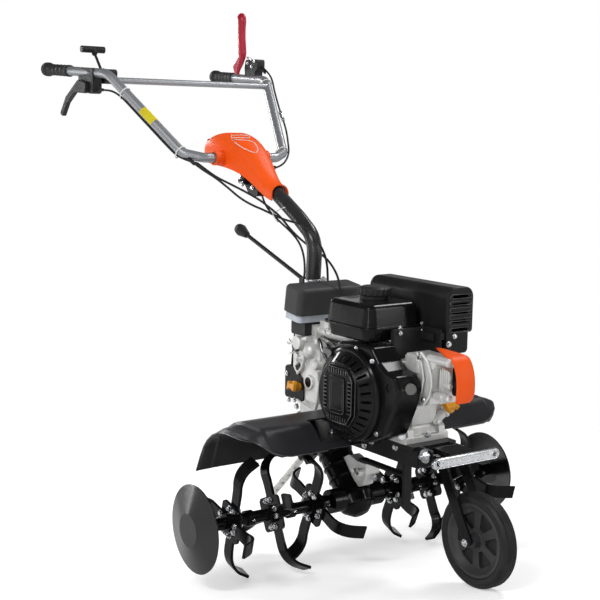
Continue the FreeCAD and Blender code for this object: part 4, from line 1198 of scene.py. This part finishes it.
# %% Wing plugs
def wing(part, at, axis, span):
    """A filler cap with a pinched wing."""
    across, up, line = frame_of(axis)
    part.turn([(11, -4), (11, 6), (14, 8), (14, 15), (11, 17)], at, line, 22)
    half = span / 2
    outline = [
        (-half, -9), (-half + 5, -12), (-9, -6.5), (9, -6.5), (half - 5, -12), (half, -9),
        (half, 9), (half - 5, 12), (9, 6.5), (-9, 6.5), (-half + 5, 12), (-half, 9),
    ]
    part.press(outline, Vector(at) + line * 14, across, up, 11)


wing_plugs = Part("wing_plugs")
wing(wing_plugs, (-145, -76, 267), (-0.1, -0.98, 0.15), 34)
wing(wing_plugs, (262, 66, 270), (0.70, 0.05, 0.70), 40)
wing_piece = wing_plugs.done("chassis", yellow_plastic, bevel=1.6)
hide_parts("filler_plugs")

# %% [markdown]
# ## Silencer slots
#
# The silencer guard is satin sheet with pressed louvres in its front, dark inside. A thin lip runs
# round each louvre, where the press folded the sheet outward.

# %% Louvre lips
SILENCER_FACE = 288.6
LOUVRE_MIDDLE = 74
LOUVRE_LOW, LOUVRE_PITCH = 467, 15.6
louvres = Part("louvre_lips")
for k in range(6):
    middle = LOUVRE_LOW + k * LOUVRE_PITCH
    lip = [(SILENCER_FACE, LOUVRE_MIDDLE + u, middle + v) for u, v in rounded(66, 9.5, 4)]
    louvres.wire(lip, 1.0, 6, closed=True)
louvres.done("chassis", ridge_gloss)

# %% [markdown]
# ## Sheet and rail details
#
# A plate closes the gap between the mudguard and the frame, and a few small things hold the
# machine together: a strap under the silencer, a band round the column, saddle bolts on the gear
# case, and in front the pivot washers and the spring clip in the pin.

# %% Plates and bands
inner_guard = Part("inner_guard")
guard_outline = [(-100, -184), (-92, -58), (118, -58), (126, -120), (136, -176), (120, -186)]
inner_guard.press(guard_outline, (0, 0, 192), FORWARD, LEFT, 3)
inner_guard.done("chassis", guard_paint, bevel=0.8)
silencer_strap = Part("silencer_strap")
silencer_strap.press(box(268, 447, 32, 27), (0, 8, 0), FORWARD, UP, 3)
silencer_strap.press(rounded(22, 50, 4), (285, 44, 440), LEFT, UP, 2.5)
silencer_strap.done("chassis", black_satin_paint, bevel=0.8)
column_band = Part("column_band")
band = [(20.2, -4), (22.6, -4), (22.6, 4), (20.2, 4), (20.2, -4)]
column_band.turn(band, (-194.5, 0, 531), (-0.05, 0, 1), 28)
column_band.press(rounded(10, 8, 2), (-178, -18, 531), (0.7, 0.7, 0), UP, -7)
column_band.done("chassis", zinc_steel, bevel=0.4)
band_cap = Part("band_cap")
band_cap.turn([(7, -16), (7, 0), (5, 3)], (-190, 34, 536), (0.3, 0.6, 0.7), 16)
band_cap.done("chassis", white_nylon)

# %% Bolts of the frame, the silencer and the cowl
frame_bolts = Part("frame_bolts")
frame_bolts.bolts([
    ((42, -33, 84), RIGHT, 6.5), ((56, -8, 85), (0.24, 0, 0.97), 6.0),
    ((70, 8, 66), (0.93, 0, -0.37), 6.0), ((286.5, 42, 435), FORWARD, 5.5),
    ((286.5, 60, 452), FORWARD, 4.5), ((221, -53, 188), RIGHT, 6.0), ((105, -53, 166), RIGHT, 6.0),
    ((-60, -53, 166), RIGHT, 6.0), ((-199, -75, 292), RIGHT, 5.0), ((-186, -75, 224), RIGHT, 5.0),
    ((-505, -26, 789), RIGHT, 7.5), ((-481, -38, 768), RIGHT, 6.5), ((-450, -25, 760), RIGHT, 5.0),
], 0.8, 13)
frame_bolts.press(rounded(24, 18, 3), (-524, -24, 784), FORWARD, UP, 7)
frame_bolts.wire([(-500, -40, 778), (-484, -42, 772), (-470, -42, 774)], 3.5, 10)
frame_bolts.turn([(3.5, 0), (3.5, 18)], (-492, -30, 775), RIGHT, 12)
frame_bolts.done("chassis", zinc_steel, bevel=0.5)
arm_washers = Part("arm_washers")
arm_washers.turn([(16, -2), (16, 1.6)], (331, -59.5, 193), RIGHT, 28)
arm_washers.hexagon((331, -61, 193), RIGHT, 9.5, 7, 20)
arm_washers.turn([(5, 0), (5, 13), (4, 14)], (331, -61, 193), RIGHT, 14)
spring_clip = [
    (352, -40, 199), (352, -52, 199), (358, -57, 202),
    (372, -57, 206), (374, -52, 203), (360, -51, 198),
]
arm_washers.wire(spring_clip, 1.4)
arm_washers.done("wheel_arm", zinc_steel, bevel=0.4)

# %% [markdown]
# ## Cooling shield
#
# The orange shield over the cylinder head is one moulded sheet: it starts as a narrow tongue on
# top, turns down over the front and bulges forward, with round lower corners. A grid of points
# follows that line, and Solidify gives the sheet its thickness. It stands in for the plain folded
# solid.

# %% A sheet that follows a line of stations
SHIELD_THICK = 3
SHIELD_LEFT, SHIELD_RIGHT = 3.5, -49.5
TONGUE_BACK, TONGUE_LENGTH, TONGUE_TAPER = 390, 105, 56
CORNER_TOP, CORNER_DROP = 346, 18
LEFT_TUCK, RIGHT_TUCK = 14, 6
shield_line = [
    (296, 431.5), (320, 431), (350, 430), (376, 429), (390, 427.5), (398, 424), (404, 417),
    (409, 408), (413.5, 397), (416.5, 384), (418, 370), (418, 356), (416.5, 344), (415, 336),
    (414, 331), (413.5, 328.5),
]
shield = Part("cooling_shield")
rows = []
for x, z in shield_line:
    left, right = SHIELD_LEFT, SHIELD_RIGHT
    if x <= TONGUE_BACK:
        right = max(right, -55 + (TONGUE_BACK - x) * TONGUE_TAPER / TONGUE_LENGTH)
    if z < CORNER_TOP:
        tuck = 1 - math.sqrt(max(0.0, 1 - ((CORNER_TOP - z) / CORNER_DROP) ** 2))
        left -= LEFT_TUCK * tuck
        right += RIGHT_TUCK * tuck
    rows.append(shield.ring([(x, right + (left - right) * k / 8, z) for k in range(9)]))
for first, second in zip(rows, rows[1:]):
    for k in range(8):
        shield.mesh.faces.new((first[k], first[k + 1], second[k + 1], second[k]))
cooling_shield = shield.done("chassis", orange_plastic, smooth=180.0)
thicken = cooling_shield.modifiers.new("sheet", "SOLIDIFY")
thicken.thickness = SHIELD_THICK * MM
thicken.offset = 0
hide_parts("head_cover")
shield_block = Part("shield_block")
shield_block.press(rounded(19, 64, 6), (401, -20, 376), FORWARD, UP, 20)
shield_block.done("chassis", black_moulding, bevel=1.0)

# %% [markdown]
# ## Stop lever
#
# The red lever is a long moulded handle, round in section, with a fuller top for the palm and a
# cranked foot that turns in the bracket. It is a loft: oval sections stacked along its height.

# %% Lofted handle
def loft(part, sections, sides=20):
    """Ovals stacked along a handle: each is (middle, half depth, half width)."""
    part.shell([
        part.ring([Vector(middle) + Vector((deep * u, wide * v, 0)) for u, v in circle(1, sides)])
        for middle, deep, wide in sections
    ])


red_handle = Part("stop_handle")
loft(red_handle, [
    ((-966, 262, 1279), 5, 4), ((-966, 262, 1276), 11, 8), ((-966, 262, 1270), 16, 11.5),
    ((-965.5, 262, 1261), 18.2, 13), ((-965, 262, 1249), 18, 13), ((-965, 262, 1233), 16, 12),
    ((-964, 262, 1205), 15, 11.4), ((-961, 262, 1175), 15.8, 11.4),
    ((-959, 262, 1156), 16.6, 11.2),
    ((-962, 262, 1144), 18.4, 10.5), ((-974, 262, 1133), 25, 10), ((-983, 262, 1122), 28, 9.4),
    ((-988, 262, 1110), 22, 8.4), ((-990, 262, 1100), 15, 7), ((-989, 262, 1090), 10, 6),
])
handle = red_handle.done("handlebar_set", red_plastic, smooth=60.0)
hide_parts("stop_lever")

# %% [markdown]
# ## Blank plates and the sticker
#
# Where a maker would print a name the machine carries plain, empty plates: a shield outline and a
# strip on the cowl and a yellow patch on the right arm. The patch bends round the tube. The two
# outlines are drawn flat, seen from above, and each point is dropped onto the cowl by a ray, so
# that the raised line follows the curved skin.

# %% Sticker
def sticker_finish():
    """Thin printed film in plain yellow, slightly uneven from the print."""
    finish = Finish("yellow_film", Specular_IOR_Level=0.3)
    print_grain = finish.cloud(500.0, detail=2.0)
    wear = finish.step(finish.cloud(60.0, detail=3.0), 0.45, 0.8)
    finish.put(
        Base_Color=finish.blend((0.60, 0.50, 0.006, 1), (0.52, 0.43, 0.012, 1), wear),
        Roughness=0.3 + print_grain * 0.1,
        Normal=finish.bumps(print_grain, 0.0001, 0.2),
    )
    return finish.material


arm_sticker = Part("arm_sticker")
TUBE_REACH, FILM_REACH = 12.9, 13.9
STICKER_START, STICKER_STEP = 166, 9
toward_eye = Vector((0.55, -0.62, 0.55))
facing = (toward_eye - ARM_LINE * toward_eye.dot(ARM_LINE)).normalized()
beside = ARM_LINE.cross(facing)
strips = []
for k in range(7):
    centre = ARM_START + ARM_LINE * (STICKER_START + STICKER_STEP * k)
    strips.append(arm_sticker.ring([
        centre + (facing * math.cos(a) + beside * math.sin(a)) * reach
        for reach, turns in ((FILM_REACH, range(-6, 7)), (TUBE_REACH, range(6, -7, -1)))
        for a in [math.radians(11 * turn) for turn in turns]
    ]))
arm_sticker.shell(strips)
arm_sticker.done("handlebar_set", sticker_finish())

# %% Plates and vent of the cowl
LINE_LIFT = 0.6
LINE_RADIUS = 1.1
FROM_ABOVE = 1100
BADGE_SHIELD = [
    (-532, -41), (-521, -35), (-512, -28), (-505, -19), (-500, -9), (-497, 2), (-488, 6), (-476, 5),
    (-464, 1), (-456, -11), (-461, -21), (-470, -28), (-481, -34), (-495, -38), (-511, -41),
]
BADGE_STRIP = [
    (-548, -33), (-539, -24), (-535, -10), (-533, 5), (-528, 14), (-514, 5), (-515, -6),
    (-519, -20), (-527, -31), (-538, -39),
]
cowl = solids["cowl"]
cowl_skin = BVHTree.FromObject(cowl, bpy.context.evaluated_depsgraph_get())
to_cowl = cowl.matrix_world.inverted() @ PARKED


def on_cowl(x, y):
    """The drawing's point on the cowl's skin at (x, y), seen from above, lifted a little."""
    start = to_cowl @ Vector((x, y, FROM_ABOVE))
    down = (to_cowl @ Vector((x, y, 0)) - start).normalized()
    hit, normal, _, _ = cowl_skin.ray_cast(start, down)
    return to_cowl.inverted() @ (hit + normal * LINE_LIFT * MM)


cowl_plates = Part("cowl_plates")
for outline in (BADGE_SHIELD, BADGE_STRIP):
    cowl_plates.wire([on_cowl(x, y) for x, y in outline], LINE_RADIUS, 6, closed=True)
cowl_plates.done("chassis", white_nylon)
cowl_vent = Part("cowl_vent")
cowl_vent.press(rounded(52, 30, 6), (-675, -8, 874), RIGHT, UP, 3)
cowl_vent.done("chassis", lever_plastic, bevel=1.0)

# %% [markdown]
# ## Mudguard lips, bar rim and wheel web
#
# The mudguards end in a rolled lip that stiffens the thin sheet and draws a bright line along its
# edge. The bar in front is a channel, so it has a rim round it. Behind its spokes the front wheel
# is closed by a dark web. The hand levers' housings are held by small zinc screws.

# %% Lips of the mudguards
LIP_RADIUS = 2.2
guard_lips = Part("guard_lips")
for side in (-1, 1):
    lip = [(-131.6, 385, 96), (-112, 385, 137), (-96, 385, 165), (-80, 385, 184), (-58, 385, 201),
           (-30, 385, 213), (0, 385, 218), (61, 385, 218), (84, 383, 219), (104, 374, 220),
           (122, 361, 211), (135, 343, 198), (144, 322, 190), (147, 300, 186), (147, 196, 185)]
    guard_lips.wire([(x, side * y, z - 1) for x, y, z in lip], LIP_RADIUS)
guard_lips.done("chassis", ridge_gloss)

# %% Rim of the front bar and web of the wheel
BAR_FACE, BAR_HEIGHT = 406, 196
BAR_HOLES = (-86, 86)
FIRST_STUD, STUD_STEP = -66, 6
bar_rim = Part("bar_rim")
rim_line = [(BAR_FACE + 0.6, u, BAR_HEIGHT + v) for u, v in rounded(196, 20.5, 9.5)]
bar_rim.wire(rim_line, 1.5, closed=True)
for hole_y in BAR_HOLES:
    hole = [(BAR_FACE + 0.4, hole_y + u, BAR_HEIGHT + v) for u, v in circle(6.8, 20)]
    bar_rim.wire(hole, 1.1, 6, closed=True)
for k in range(23):
    stud = (BAR_FACE, FIRST_STUD + STUD_STEP * k, BAR_HEIGHT + 6)
    bar_rim.turn([(1.9, 0), (1.9, 0.8)], stud, FORWARD, 8)
bar_rim.done("wheel_arm", zinc_steel)
wheel_web = Part("wheel_web")
web = [(14, 0), (68, 0), (68, 2.5), (14, 2.5), (14, 0)]
wheel_web.turn(web, (452, 1, 21.5), LEFT, 48)
wheel_web.done("wheel", lever_plastic)
lever_screws = Part("lever_screws")
for spot in ((-938, 269.5, 1124), (-916, 269.5, 1112), (-900, 269.5, 1128)):
    lever_screws.bolt(spot, RIGHT, 4.2, 3, 5.6)
lever_screws.press(rounded(30, 7, 2), (-926, 269, 1137), (1, 0, -0.25), (0.25, 0, 1), 3)
for spot in ((-880, -262, 1081), (-862, -262, 1078)):
    lever_screws.bolt(spot, RIGHT, 3.2, 2.4, 4.2)
lever_screws.done("handlebar_set", zinc_steel, bevel=0.3)

# %% [markdown]
# ## Sizes at the end
#
# The machine with everything on it should be the same size as the bare one; both sizes are printed.

# %% Size of the dressed machine
low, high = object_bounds()
for word, extent in (("bare", CAD_HIGH - CAD_LOW), ("dressed", high - low)):
    print(word, [round(v, 4) for v in extent])
